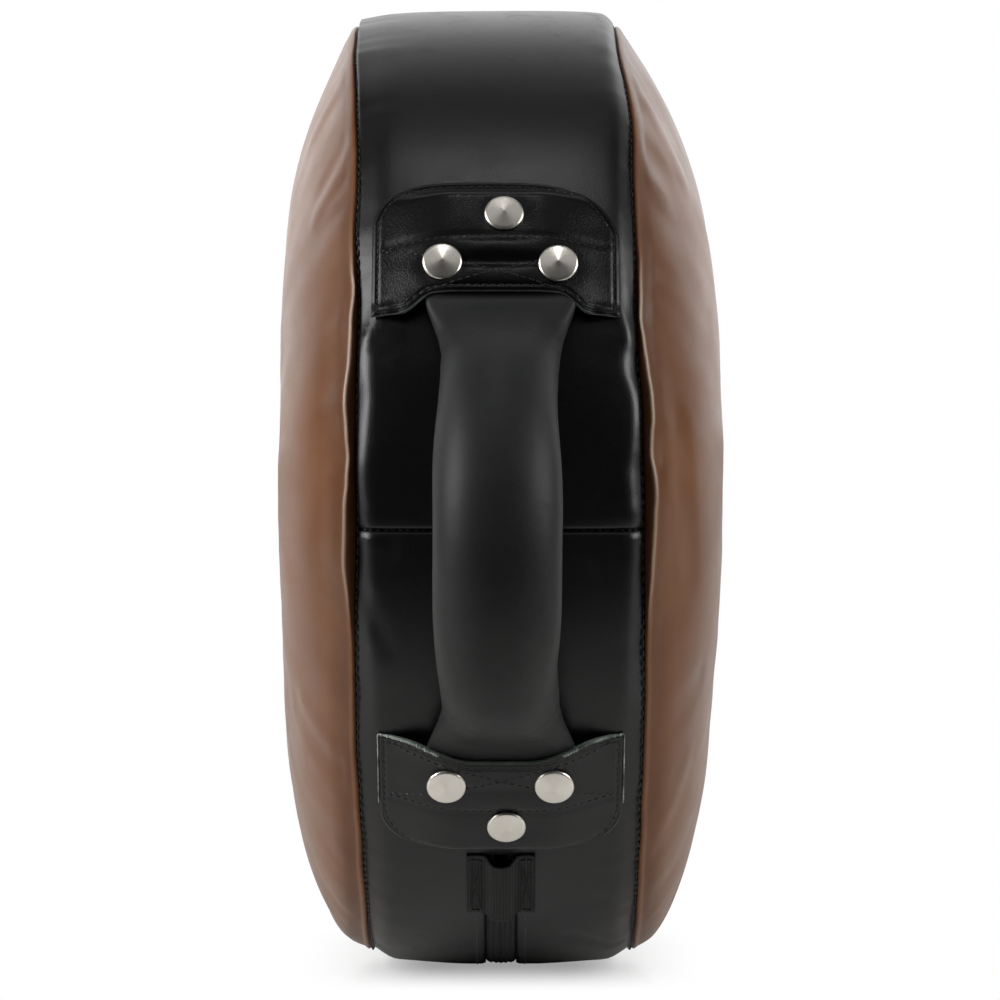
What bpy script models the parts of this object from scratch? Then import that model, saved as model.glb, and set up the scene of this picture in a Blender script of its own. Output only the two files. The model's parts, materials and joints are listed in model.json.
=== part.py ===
"""Donut punching pad: a thick padded leather ring with two rim handles and a zip in its rim.

The pad stands on its rim. X is the axis of the ring, Z is up, and the origin is on the floor
under the middle of the pad. Every place on the pad is given by a turn round the X axis, in
degrees: 0 is the rim at -Y, 90 the top, 180 the rim at +Y and -90 the bottom.
"""
import math

import bmesh
import bpy
from mathutils import Matrix, Vector

# Driving sizes, in metres
PAD_RADIUS = 0.200
FLAT_ANGLE = 4.0
FLAT_DEPTH = 0.0007
FLAT_HALF = 0.0235
PAD_CENTRE_Z = PAD_RADIUS - FLAT_DEPTH
LEATHER = 0.0018
GAP = 0.0003

# Band: the leather round the rim
BAND_HALF = 0.0553
BAND_CROWN = 0.006
BAND_CROWN_POWER = 4
SEAM_FLOOR_RADIUS = 0.1905
JOIN_HALF_ANGLE = 0.05
RIM_STEP = 9.0

# Faces: the two leather striking faces
FACE_SEAM_X = 0.0558
FACE_LIP_X = 0.0575
FACE_LIP_RADIUS = 0.1948
CREST_RADIUS = 0.103
CREST_X = 0.0884
HOLE_RADIUS = 0.0447
HOLE_MOUTH_X = 0.0745
HOLE_EDGE_X = 0.0722
FULLNESS = 0.82
SAG = 0.17

# The ring hangs a little askew: how far each seam is drawn in at mid height, top and bottom,
# and how much lower each crest stands at the top and at the bottom
SEAM_INSETS = {1: (0.0009, 0.0036, 0.0009), -1: (0.0, 0.0, 0.0020)}
CREST_DROPS = {1: (0.0042, 0.0040), -1: (0.0, 0.0006)}
DRAWN_FROM = 0.036
DRAWN_POWER = 1.6

# Foam inside
FOAM_RADIUS = 0.1935
FOAM_HOLE = 0.0480
FOAM_SPLIT_X = 0.030
FOAM_STEPS = 24

# Handles
TONGUE_END = 37.5
STRAP_END = 37.3
ARCH_END = 27.0
ARCH_HEIGHT = 0.050
ROOT_RADIUS = 0.2037
GRIP_HALF_WIDTH = 0.0236
GRIP_WAIST = 0.0222
GRIP_HALF_DEPTH = 0.0205
ROOT_HALF_WIDTH = 0.0295
TONGUE_HALF_WIDTH = 0.0275
TONGUE_HALF_DEPTH = 0.0034
TONGUE_TAPER = 0.0050
GRIP_LEATHER = 0.0015
PADDING_END = 19.0
STRAP_HALF_WIDTH = 0.0175
STRAP_HALF_DEPTH = 0.0014
GRIP_SIDES = 12

# Handle patches; the mouth bows from one half width to another
PATCH_HALF_WIDTH = 0.0472
PATCH_CORNER = 23.6
PATCH_MOUTH = 25.5
PATCH_SHOULDER = 33.5
UPPER_PATCH_END = 40.2
LOWER_PATCH_END = 39.2
UPPER_MOUTH_BOW = (0.024, 0.036)
LOWER_MOUTH_BOW = (0.004, 0.036)
PATCH_LEATHER = 0.0022
PATCH_RAISED_HALF = 0.0312
PATCH_SLOPE = 0.0068
PATCH_HALF_COLUMNS = (0, 0.4, 0.66, 0.745, 0.82, 0.93, 0.98, 1)
PATCH_ROWS = (0, 0.14, 0.42, 0.7, 1)
PATCH_KNEE = 0.4
ROOT_LEAN = 0.5

# Rivets: spot, angle from the handle's middle, and x
UPPER_RIVETS = (("inner", 28.7, -0.0215), ("outer", 28.7, 0.0215), ("end", 34.7, 0.0012))
LOWER_RIVETS = (("inner", 28.7, -0.0205), ("outer", 28.7, 0.0205), ("end", 34.3, 0.0022))
CAP_RADIUS = 0.0076
CAP_HEIGHT = 0.0030
POST_RADIUS = 0.0020
POST_HOLE_RADIUS = 0.0023
TAIL_RADIUS = 0.0031
WASHER_RADIUS = 0.0055
WASHER_THICKNESS = 0.0009
WASHER_TOP_RADIUS = 0.1966
TAIL_BOTTOM_RADIUS = 0.1943

# Zip in the lower rim
SLOT_HALF = 0.0063
SLOT_END = 41.25
TAPE_HALF = 0.0150
TAPE_TOP_RADIUS = 0.1990
TAPE_UNDER_RADIUS = 0.1973
TAPE_THICKNESS = 0.0007
COIL_OUTER_RADIUS = 0.1980
COIL_INNER_RADIUS = 0.1962
COIL_HALF = 0.0026
COIL_END = 43.6
ELASTIC_START = 41.9
ELASTIC_END = 52.5
ELASTIC_MOUTH_DEPTH = 1.9
ELASTIC_THICKNESS = 0.0008

# Zip slider, in its own frame: x across, y along the zip towards the nose, z out of the pad
SLIDER_ANGLE = -44.6
SLIDER_LENGTH = 0.015
SLIDER_NOSE_HALF = 0.0045
SLIDER_TAIL_HALF = 0.0037
TOP_PLATE = (0.1994, 0.2006)
BOTTOM_PLATE = (0.1941, 0.1952)
CROWN_START = 0.0012
CROWN_END = 0.0069
CROWN_HALF = 0.0013
CROWN_LEG = 0.0010
CROWN_ROOF = (0.2023, 0.2032)
PIVOT_Y = 0.0042
PIVOT_RADIUS = 0.2015
PULL_LENGTH = 0.0170
PULL_HALF = 0.0031
PULL_THICKNESS = 0.0010
PULL_WINDOW = 0.0040

BLACK_LEATHER = ("black_leather", (0.012, 0.012, 0.013), 0.42, 0.0)
BROWN_LEATHER = ("brown_leather", (0.150, 0.062, 0.032), 0.50, 0.0)
LINING = ("lining_leather", (0.014, 0.013, 0.013), 0.55, 0.0)
FOAM = ("foam", (0.55, 0.55, 0.50), 0.95, 0.0)
WEBBING = ("webbing", (0.03, 0.03, 0.03), 0.9, 0.0)
NICKEL = ("nickel", (0.62, 0.58, 0.54), 0.25, 1.0)
ELASTIC = ("elastic", (0.010, 0.010, 0.011), 0.85, 0.0)
TAPE = ("zip_tape", (0.010, 0.010, 0.012), 0.8, 0.0)
COIL = ("zip_coil", (0.015, 0.015, 0.016), 0.4, 0.0)
ZIP_METAL = ("zip_metal", (0.05, 0.05, 0.05), 0.35, 1.0)


def new_collection(name):
    collection = bpy.data.collections.new(name)
    bpy.context.scene.collection.children.link(collection)
    return collection


def clear_scene():
    for old in list(bpy.data.objects):
        bpy.data.objects.remove(old)


def finish_material(finish):
    """Make or fetch the material of one finish: name, colour, roughness and metallic."""
    name, colour, roughness, metallic = finish
    material = bpy.data.materials.get(name)
    if material:
        return material
    material = bpy.data.materials.new(name)
    material.use_nodes = True
    shader = material.node_tree.nodes["Principled BSDF"]
    shader.inputs["Base Color"].default_value = (*colour, 1.0)
    shader.inputs["Roughness"].default_value = roughness
    shader.inputs["Metallic"].default_value = metallic
    material.diffuse_color = (*colour, 1.0)
    return material


def smoothstep(t):
    t = min(max(t, 0.0), 1.0)
    return t * t * (3 - 2 * t)


def at(angle, radius, x=0.0):
    """The point at a turn round the pad's axis; what would pass the floor is pressed flat on it."""
    turn = math.radians(angle)
    height = PAD_CENTRE_Z + radius * math.sin(turn)
    return Vector((x, -radius * math.cos(turn), max(height, 0.0)))


def outward(angle):
    """The direction that leaves the pad's rim at this turn."""
    turn = math.radians(angle)
    return Vector((0.0, -math.cos(turn), math.sin(turn)))


def rim_angles(start, end, extra=()):
    """Turns from start to end at the rim's facets, with two at the flat where the pad stands."""
    count = round(360 / RIM_STEP)
    facets = [-180 + RIM_STEP * i for i in range(2 * count)]
    facets = [a for a in facets if abs((a + 90) % 360) > 0.1]
    facets += [-90 - FLAT_ANGLE, -90 + FLAT_ANGLE, 270 - FLAT_ANGLE, 270 + FLAT_ANGLE]
    inside = {a for a in facets if start < a < end}
    return sorted(inside | set(extra) | {start, end})


def new_object(name, mesh, finish, collection, sharp=35.0):
    mesh.materials.append(finish_material(finish))
    mesh.shade_smooth()
    mesh.set_sharp_from_angle(angle=math.radians(sharp))
    piece = bpy.data.objects.new(name, mesh)
    collection.objects.link(piece)
    return piece


def grid_mesh(name, rows, away_from, closed=False, skip=lambda i, j: False):
    """An open surface through rows of points, its faces turned away from a point of the inside."""
    bm = bmesh.new()
    verts = [[bm.verts.new(p) for p in row] for row in rows]
    last = len(rows) if closed else len(rows) - 1
    for i in range(last):
        here, after = verts[i], verts[(i + 1) % len(rows)]
        for j in range(len(here) - 1):
            if not skip(i, j):
                bm.faces.new((here[j], after[j], after[j + 1], here[j + 1]))
    loose = [v for v in bm.verts if not v.link_faces]
    bmesh.ops.delete(bm, geom=loose, context="VERTS")
    bm.normal_update()
    facing = sum(f.calc_area() * f.normal.dot(f.calc_center_median() - away_from(f)) for f in bm.faces)
    if facing < 0:
        bmesh.ops.reverse_faces(bm, faces=bm.faces)
    mesh = bpy.data.meshes.new(name)
    bm.to_mesh(mesh)
    bm.free()
    return mesh


def pad_axis_point(face):
    """The point of the pad's axis nearest a face."""
    return Vector((face.calc_center_median().x, 0.0, PAD_CENTRE_Z))


def ring_core_point(face):
    """The point of the ring's own middle line nearest a face."""
    centre = face.calc_center_median() - Vector((0, 0, PAD_CENTRE_Z))
    centre.x = 0.0
    return centre.normalized() * CREST_RADIUS + Vector((0, 0, PAD_CENTRE_Z))


def thicken(piece, thickness):
    shell = piece.modifiers.new("leather", "SOLIDIFY")
    shell.thickness = thickness
    shell.offset = -1.0
    return piece


def tube_mesh(name, outer, inner):
    """A closed tube lofted through outer and inner rings of equal point counts."""
    bm = bmesh.new()
    skins = [[[bm.verts.new(p) for p in ring] for ring in rings] for rings in (outer, inner)]
    sides = len(outer[0])
    for rings in skins:
        for here, after in zip(rings, rings[1:]):
            for j in range(sides):
                k = (j + 1) % sides
                bm.faces.new((here[j], here[k], after[k], after[j]))
    for end in (0, -1):
        a, b = skins[0][end], skins[1][end]
        for j in range(sides):
            k = (j + 1) % sides
            bm.faces.new((a[j], b[j], b[k], a[k]))
    bmesh.ops.recalc_face_normals(bm, faces=bm.faces)
    mesh = bpy.data.meshes.new(name)
    bm.to_mesh(mesh)
    bm.free()
    return mesh


def bar_mesh(name, rings):
    """A closed solid lofted through rings, with flat ends."""
    bm = bmesh.new()
    loops = [[bm.verts.new(p) for p in ring] for ring in rings]
    sides = len(loops[0])
    for here, after in zip(loops, loops[1:]):
        for j in range(sides):
            k = (j + 1) % sides
            bm.faces.new((here[j], here[k], after[k], after[j]))
    bm.faces.new(loops[0])
    bm.faces.new(loops[-1])
    bmesh.ops.recalc_face_normals(bm, faces=bm.faces)
    mesh = bpy.data.meshes.new(name)
    bm.to_mesh(mesh)
    bm.free()
    return mesh


def hoop_mesh(name, rings):
    """A closed solid lofted through rings that come back to the first one."""
    bm = bmesh.new()
    loops = [[bm.verts.new(p) for p in ring] for ring in rings]
    sides = len(loops[0])
    for i, here in enumerate(loops):
        after = loops[(i + 1) % len(loops)]
        for j in range(sides):
            k = (j + 1) % sides
            bm.faces.new((here[j], here[k], after[k], after[j]))
    bmesh.ops.recalc_face_normals(bm, faces=bm.faces)
    mesh = bpy.data.meshes.new(name)
    bm.to_mesh(mesh)
    bm.free()
    return mesh


def turned(name, profile, steps, closed=False):
    """A mesh line of (radius, height) points, which a Screw modifier turns round local Z."""
    edges = [(i, i + 1) for i in range(len(profile) - 1)]
    if closed:
        edges.append((len(profile) - 1, 0))
    mesh = bpy.data.meshes.new(name)
    mesh.from_pydata([(r, 0.0, z) for r, z in profile], edges, [])
    mesh["steps"] = steps
    return mesh


def add_screw(piece):
    screw = piece.modifiers.new("turn", "SCREW")
    screw.steps = piece.data["steps"]
    screw.render_steps = screw.steps
    screw.use_merge_vertices = True
    screw.merge_threshold = 0.0001
    screw.use_smooth_shade = True


# Band round the rim

def seam_inset(angle, side):
    """How far a seam is drawn in towards the middle of the band."""
    middle, top, bottom = SEAM_INSETS[side]
    height = math.sin(math.radians(angle))
    return middle + top * smoothstep((height - 0.05) / 0.65) + bottom * smoothstep((-height - 0.3) / 0.5)


def crest_x(angle, side):
    """How far a face's crest stands from the middle of the pad."""
    top, bottom = CREST_DROPS[side]
    height = math.sin(math.radians(angle))
    if height > 0:
        return CREST_X - top * height ** 3
    return CREST_X - bottom * (-height) ** 1.3


def drawn_in(angle, x):
    """Where a point across the band lies once its seam is drawn in."""
    side = 1 if x > 0 else -1
    share = max(abs(x) - DRAWN_FROM, 0.0) / (BAND_HALF - DRAWN_FROM)
    return x - side * seam_inset(angle, side) * share ** DRAWN_POWER


def band_radius(x):
    """The rim is level in the middle and rounds off to the seams."""
    return PAD_RADIUS - BAND_CROWN * abs(x / BAND_HALF) ** BAND_CROWN_POWER


def band_section():
    """Points (x, radius) across the band, with the edges turned in at both seams."""
    half = [SLOT_HALF, FLAT_HALF, 0.036, 0.047, BAND_HALF]
    across = [-x for x in reversed(half)] + half
    surface = [(x, band_radius(x)) for x in across]
    return [(-BAND_HALF, SEAM_FLOOR_RADIUS)] + surface + [(BAND_HALF, SEAM_FLOOR_RADIUS)]


def make_band(name, start, end, slot=None):
    angles = rim_angles(start + JOIN_HALF_ANGLE, end - JOIN_HALF_ANGLE, slot or ())
    section = band_section()
    middle = len(section) // 2 - 1

    def in_slot(i, j):
        return bool(slot) and j == middle and slot[0] <= angles[i] < slot[1]

    rows = [[at(a, r, drawn_in(a, x)) for x, r in section] for a in angles]
    mesh = grid_mesh(name, rows, ring_core_point, skip=in_slot)
    return thicken(new_object(name, mesh, BLACK_LEATHER, pad), LEATHER)


# Striking faces

def face_fullness(angle):
    """The filling settles, so the face stands fuller near the bottom than near the top."""
    return FULLNESS + SAG * math.sin(math.radians(angle))


def face_section(angle, side):
    """Points (x, radius) from the rim seam over the crest into the hole."""
    inset = seam_inset(angle, side)
    seam = FACE_SEAM_X - inset
    lip = FACE_LIP_X - inset
    crest = crest_x(angle, side)
    points = [(seam, SEAM_FLOOR_RADIUS), (seam + 0.0003, FACE_LIP_RADIUS - 0.0012)]
    for t in (1.0, 0.965, 0.88, 0.72, 0.48, 0.2):
        radius = CREST_RADIUS + (FACE_LIP_RADIUS - CREST_RADIUS) * t
        rise = (1 - t * t) ** face_fullness(angle)
        points.append((lip + (crest - lip) * rise, radius))
    for t in (0.3, 0.65, 0.9, 1.0):
        radius = CREST_RADIUS - (CREST_RADIUS - HOLE_RADIUS) * t
        points.append((HOLE_MOUTH_X + (crest - HOLE_MOUTH_X) * (1 - t ** 2.2) ** 0.75, radius))
    points.append((HOLE_EDGE_X, HOLE_RADIUS))
    return points


def make_face(name, side):
    angles = rim_angles(-180, 180)[:-1]
    rows = [[at(a, r, side * x) for x, r in face_section(a, side)] for a in angles]
    mesh = grid_mesh(name, rows, ring_core_point, closed=True)
    return thicken(new_object(name, mesh, BROWN_LEATHER, pad), LEATHER)


# Lining of the hole and the foam

def place_on_axis(piece):
    """Lay a turned piece's own Z along the pad's X axis."""
    piece.location = (0.0, 0.0, PAD_CENTRE_Z)
    piece.rotation_euler = (0.0, math.radians(90), 0.0)


def make_lining():
    length = HOLE_EDGE_X - GAP
    profile = [
        (HOLE_RADIUS, length),
        (HOLE_RADIUS + LEATHER, length),
        (HOLE_RADIUS + LEATHER, -length),
        (HOLE_RADIUS, -length),
    ]
    mesh = turned("hole_lining", profile, round(360 / RIM_STEP), closed=True)
    piece = new_object("hole_lining", mesh, LINING, pad)
    add_screw(piece)
    place_on_axis(piece)


def make_foam():
    """Three stacked rings of foam: a firm middle and two outer layers domed like the faces."""
    low = FOAM_SPLIT_X + GAP
    core = [
        (FOAM_HOLE, FOAM_SPLIT_X),
        (FOAM_RADIUS, FOAM_SPLIT_X),
        (FOAM_RADIUS, -FOAM_SPLIT_X),
        (FOAM_HOLE, -FOAM_SPLIT_X),
    ]
    middle = new_object("foam_middle", turned("foam_middle", core, FOAM_STEPS, closed=True), FOAM, pad)
    add_screw(middle)
    place_on_axis(middle)
    for name, side in (("foam_front", 1), ("foam_back", -1)):
        rings = []
        for k in range(FOAM_STEPS):
            angle = 360.0 * k / FOAM_STEPS - 180.0
            drop = CREST_X - crest_x(angle, side)
            inset = seam_inset(angle, side)
            dome = [
                (FOAM_HOLE, 0.0700),
                (0.062, 0.0800 - drop),
                (CREST_RADIUS, 0.0842 - drop),
                (0.150, 0.0755 - drop - 0.3 * inset),
                (0.175, 0.0620 - 0.5 * drop - 0.7 * inset),
                (0.188, 0.0530 - inset),
                (0.188, low),
                (FOAM_HOLE, low),
            ]
            rings.append([at(angle, r, side * x) for r, x in dome])
        new_object(name, hoop_mesh(name, rings), FOAM, pad)


# Handles

def arch_radius(angle):
    """The radius of the handle's middle line."""
    if abs(angle) >= ARCH_END:
        return ROOT_RADIUS
    return ROOT_RADIUS + 0.5 * ARCH_HEIGHT * (1 + math.cos(math.pi * angle / ARCH_END))


def arch_point(side, angle):
    """A point of the handle's middle line; side is 0 at -Y and 180 at +Y."""
    return at(turn_of(side, angle), arch_radius(angle))


def turn_of(side, angle):
    """Upper ends have positive angles on both sides of the pad."""
    return angle if side == 0 else 180 - angle


def arch_normal(side, angle):
    step = 0.05
    along = arch_point(side, angle + step) - arch_point(side, angle - step)
    normal = along.cross(Vector((1, 0, 0))).normalized()
    away = outward(turn_of(side, angle))
    return normal if normal.dot(away) > 0 else -normal


def grip_size(angle):
    """Half width, half depth and squareness of the grip's section at an angle from its middle."""
    a = abs(angle)
    depth = TONGUE_HALF_DEPTH
    depth += (GRIP_HALF_DEPTH - TONGUE_HALF_DEPTH) * smoothstep((25.5 - a) / 13.5)
    width = GRIP_HALF_WIDTH + (GRIP_WAIST - GRIP_HALF_WIDTH) * smoothstep((a - 5.0) / 9.0)
    width += (ROOT_HALF_WIDTH - GRIP_WAIST) * smoothstep((a - 17.5) / 9.0)
    width += (TONGUE_HALF_WIDTH - ROOT_HALF_WIDTH) * smoothstep((a - 26.5) / 4.0)
    width -= TONGUE_TAPER * smoothstep((a - 34.0) / 3.5)
    power = 2.2 + 1.8 * smoothstep((a - 16.0) / 8.0)
    return width, depth, power


def oval(side, angle, width, depth, power):
    """One ring of the handle: a squared oval in the plane across its middle line."""
    centre = arch_point(side, angle)
    normal = arch_normal(side, angle)
    ring = []
    for k in range(GRIP_SIDES):
        turn = 2 * math.pi * (k + 0.5) / GRIP_SIDES
        c, s = math.cos(turn), math.sin(turn)
        x = width * math.copysign(abs(c) ** (2 / power), c)
        out = depth * math.copysign(abs(s) ** (2 / power), s)
        ring.append(centre + Vector((x, 0, 0)) + normal * out)
    return ring


def grip_angles(end):
    half = [0.0, 5.0, 10.0, 15.0, 19.0, 22.0, 24.5, 26.5, 29.0, 34.0, TONGUE_END]
    half = [a for a in half if a < end] + [end]
    return [-a for a in reversed(half[1:])] + half


def make_grip(side, word, cutters):
    """The leather sleeve of the handle, its padding, and the strap that carries the load."""
    outer, inner = [], []
    for a in grip_angles(TONGUE_END):
        width, depth, power = grip_size(a)
        outer.append(oval(side, a, width, depth, power))
        inner.append(oval(side, a, width - GRIP_LEATHER, depth - GRIP_LEATHER, power))
    name = word + "_grip_leather"
    sleeve = new_object(name, tube_mesh(name, outer, inner), BLACK_LEATHER, pad)
    for cutter in cutters:
        cut(sleeve, cutter)

    outer, inner = [], []
    clear = GRIP_LEATHER + 0.0004
    for a in grip_angles(PADDING_END):
        width, depth, power = grip_size(a)
        outer.append(oval(side, a, width - clear, depth - clear, power))
        inner.append(oval(side, a, STRAP_HALF_WIDTH + 0.0005, STRAP_HALF_DEPTH + 0.0009, 6))
    name = word + "_grip_padding"
    new_object(name, tube_mesh(name, outer, inner), FOAM, pad)

    rings = []
    for a in grip_angles(STRAP_END):
        centre = arch_point(side, a)
        normal = arch_normal(side, a) * STRAP_HALF_DEPTH
        wide = Vector((STRAP_HALF_WIDTH, 0, 0))
        rings.append([centre + wide + normal, centre - wide + normal, centre - wide - normal,
                      centre + wide - normal])
    name = word + "_grip_strap"
    strap = new_object(name, bar_mesh(name, rings), WEBBING, pad)
    for cutter in cutters:
        cut(strap, cutter)


# Handle patches

def patch_mouth(x, sign):
    """The patch's inner edge: it bows over the grip and has corners beside it."""
    start, end = UPPER_MOUTH_BOW if sign > 0 else LOWER_MOUTH_BOW
    edge = smoothstep((abs(x) - start) / (end - start))
    return PATCH_MOUTH + (PATCH_CORNER - PATCH_MOUTH) * edge


def patch_tip(x, sign):
    """The patch's rounded outer end."""
    end = UPPER_PATCH_END if sign > 0 else LOWER_PATCH_END
    across = min(abs(x) / PATCH_HALF_WIDTH, 1.0)
    return PATCH_SHOULDER + (end - PATCH_SHOULDER) * (1 - across ** 4) ** 0.4


def patch_radius(angle, x):
    """The patch lies on the grip's flat tongue in the middle and on the band beside and past it."""
    low = band_radius(x) + GAP + PATCH_LEATHER
    root = min(angle - ROOT_LEAN, ARCH_END)
    high = arch_radius(root) + grip_size(root)[1] + GAP + PATCH_LEATHER
    over = 1 - smoothstep((abs(x) - PATCH_RAISED_HALF) / PATCH_SLOPE)
    past = 1 - smoothstep((angle - TONGUE_END - PATCH_KNEE - 0.1) / 1.1)
    return low + (high - low) * over * past


def make_patch(side, upper, word, cutter):
    sign = 1 if upper else -1
    rows = []
    for share in [-c for c in reversed(PATCH_HALF_COLUMNS[1:])] + list(PATCH_HALF_COLUMNS):
        x = PATCH_HALF_WIDTH * share
        start, end = patch_mouth(x, sign), patch_tip(x, sign)
        knee = min(TONGUE_END + PATCH_KNEE, start + 0.92 * (end - start))
        angles = [start + (knee - start) * t for t in PATCH_ROWS] + [end]
        rows.append([at(turn_of(side, sign * a), patch_radius(a, x), x) for a in angles])
    mesh = grid_mesh(word + "_patch", rows, pad_axis_point)
    piece = thicken(new_object(word + "_patch", mesh, BLACK_LEATHER, pad), PATCH_LEATHER)
    cut(piece, cutter)


def rivet_places(side, upper):
    """Spot, turn and x of the three rivets of one patch."""
    if upper:
        return [(spot, turn_of(side, angle), x) for spot, angle, x in UPPER_RIVETS]
    return [(spot, turn_of(side, -angle), x) for spot, angle, x in LOWER_RIVETS]


# Rivets

def make_post_cutter(side, upper, word):
    """Three post holes for one patch, as one guide object."""
    bm = bmesh.new()
    for _, turn, x in rivet_places(side, upper):
        way = Vector((0, 0, 1)).rotation_difference(outward(turn)).to_matrix().to_4x4()
        place = Matrix.Translation(at(turn, PAD_RADIUS, x)) @ way
        bmesh.ops.create_cone(bm, cap_ends=True, segments=12, radius1=POST_HOLE_RADIUS,
                              radius2=POST_HOLE_RADIUS, depth=0.03, matrix=place)
    mesh = bpy.data.meshes.new(word + "_post_holes")
    bm.to_mesh(mesh)
    bm.free()
    cutter = bpy.data.objects.new(word + "_post_holes", mesh)
    cutter.hide_render = True
    cutter.display_type = "WIRE"
    guides.objects.link(cutter)
    return cutter


def cut(piece, cutter, operation="DIFFERENCE"):
    boolean = piece.modifiers.new(cutter.name, "BOOLEAN")
    boolean.operation = operation
    boolean.object = cutter
    boolean.solver = "EXACT"


def rivet_seat():
    """The radius of the patch's face, where the caps sit."""
    return ROOT_RADIUS + TONGUE_HALF_DEPTH + GAP + PATCH_LEATHER + GAP


def rivet_profile():
    """Low conical cap, straight post and the clinched tail under the washer."""
    bottom = TAIL_BOTTOM_RADIUS - rivet_seat()
    clinch = WASHER_TOP_RADIUS - WASHER_THICKNESS - GAP - rivet_seat()
    cap = [(0.0, CAP_HEIGHT), (CAP_RADIUS * 0.88, CAP_HEIGHT * 0.48), (CAP_RADIUS, CAP_HEIGHT * 0.22)]
    return cap + [(CAP_RADIUS, 0.0), (POST_RADIUS, 0.0), (POST_RADIUS, clinch),
                   (TAIL_RADIUS, clinch), (TAIL_RADIUS * 0.7, bottom), (0.0, bottom)]


def washer_profile():
    return [(POST_HOLE_RADIUS, WASHER_THICKNESS), (WASHER_RADIUS, WASHER_THICKNESS),
            (WASHER_RADIUS, 0.0), (POST_HOLE_RADIUS, 0.0)]


def set_on_rim(piece, turn, radius, x):
    piece.location = at(turn, radius, x)
    piece.rotation_mode = "QUATERNION"
    piece.rotation_quaternion = Vector((0, 0, 1)).rotation_difference(outward(turn))


def make_rivets(side, upper, word, rivet_mesh, washer_mesh):
    for spot, turn, x in rivet_places(side, upper):
        rivet = bpy.data.objects.new(word + "_rivet_" + spot, rivet_mesh)
        washer = bpy.data.objects.new(word + "_washer_" + spot, washer_mesh)
        for piece in (rivet, washer):
            pad.objects.link(piece)
            add_screw(piece)
        set_on_rim(rivet, turn, rivet_seat(), x)
        set_on_rim(washer, turn, WASHER_TOP_RADIUS - WASHER_THICKNESS, x)


# Zip

def tape_split(angle):
    """Half the gap between the two tapes, which part at the top end round the slider's nose."""
    return 0.0002 + 0.0026 * smoothstep((angle + 43.9) / 1.2)


def make_tape(name, side):
    """One tape: level in the slot, then stepped down under the band's folded edge."""
    angles = rim_angles(-(180 - SLOT_END - 0.15), -(SLOT_END + 0.15), (-46.0, -43.6, -42.6))
    rows = []
    for a in angles:
        section = [
            (tape_split(a), TAPE_TOP_RADIUS),
            (0.0050, TAPE_TOP_RADIUS),
            (0.0070, TAPE_UNDER_RADIUS),
            (TAPE_HALF, TAPE_UNDER_RADIUS),
        ]
        rows.append([at(a, r, side * x) for x, r in section])
    mesh = grid_mesh(name, rows, pad_axis_point)
    thicken(new_object(name, mesh, TAPE, pad), TAPE_THICKNESS)


def make_coil(name, side):
    """One half of the coil chain behind the tape, as the closed shape that its loops fill."""
    angles = rim_angles(-(180 - COIL_END), -COIL_END)
    rings = []
    for a in angles:
        low, high = COIL_INNER_RADIUS, COIL_OUTER_RADIUS
        near, far = side * 0.0002, side * COIL_HALF
        mid = (low + high) / 2
        rings.append([at(a, low, near), at(a, high, near), at(a, high, far * 0.8),
                      at(a, mid, far), at(a, low, far * 0.8)])
    new_object(name, bar_mesh(name, rings), COIL, pad)


def make_elastic():
    """The elastic cover over the parked slider: a low tunnel between two flat sewn edges."""
    section = [
        (-0.0135, 0.2011),
        (-0.0070, 0.2011),
        (-0.0057, 0.2033),
        (-0.0036, 0.2047),
        (0.0, 0.2049),
    ]
    section += [(-x, r) for x, r in reversed(section[:-1])]
    rows = []
    for t in (0.0, 0.12, 0.3, 0.64, 1.0):
        row = []
        for x, r in section:
            dip = ELASTIC_MOUTH_DEPTH * max(0.0, 1 - (x / 0.0066) ** 2)
            start = ELASTIC_START + dip
            row.append(at(-(start + (ELASTIC_END - start) * t), r, x))
        rows.append(row)
    mesh = grid_mesh("zip_elastic_cover", rows, pad_axis_point)
    thicken(new_object("zip_elastic_cover", mesh, ELASTIC, pad), ELASTIC_THICKNESS)


def make_stop(name, angle, x, half_width):
    """A small rounded stop on the tape."""
    bm = bmesh.new()
    size = Matrix.Diagonal((2 * half_width, 0.0018, 0.0009, 1))
    bmesh.ops.create_cube(bm, size=1.0, matrix=size)
    mesh = bpy.data.meshes.new(name)
    bm.to_mesh(mesh)
    bm.free()
    piece = new_object(name, mesh, ZIP_METAL, pad)
    rounding = piece.modifiers.new("rounding", "BEVEL")
    rounding.width = 0.0002
    rounding.segments = 1
    set_on_rim(piece, angle, TAPE_TOP_RADIUS + 0.0008, x)


def plate_mesh(name, outline, low, high):
    """A flat outline given a thickness, as a filled and extruded curve turned into a mesh."""
    curve = bpy.data.curves.new(name + "_outline", "CURVE")
    curve.dimensions = "2D"
    curve.fill_mode = "BOTH"
    curve.extrude = (high - low) / 2
    spline = curve.splines.new("POLY")
    spline.points.add(len(outline) - 1)
    for point, (x, y) in zip(spline.points, outline):
        point.co = (x, y, 0, 1)
    spline.use_cyclic_u = True
    drawing = bpy.data.objects.new(name + "_outline", curve)
    guides.objects.link(drawing)
    bpy.context.view_layer.update()
    solid = drawing.evaluated_get(bpy.context.evaluated_depsgraph_get())
    mesh = bpy.data.meshes.new_from_object(solid)
    bpy.data.objects.remove(drawing)
    bm = bmesh.new()
    bm.from_mesh(mesh)
    bmesh.ops.remove_doubles(bm, verts=bm.verts, dist=0.00001)
    bmesh.ops.translate(bm, verts=bm.verts, vec=(0, 0, (low + high) / 2))
    bmesh.ops.recalc_face_normals(bm, faces=bm.faces)
    bm.to_mesh(mesh)
    bm.free()
    mesh.name = name
    return mesh


def box_outline(half_width, start, end):
    return [(-half_width, start), (half_width, start), (half_width, end), (-half_width, end)]


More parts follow.
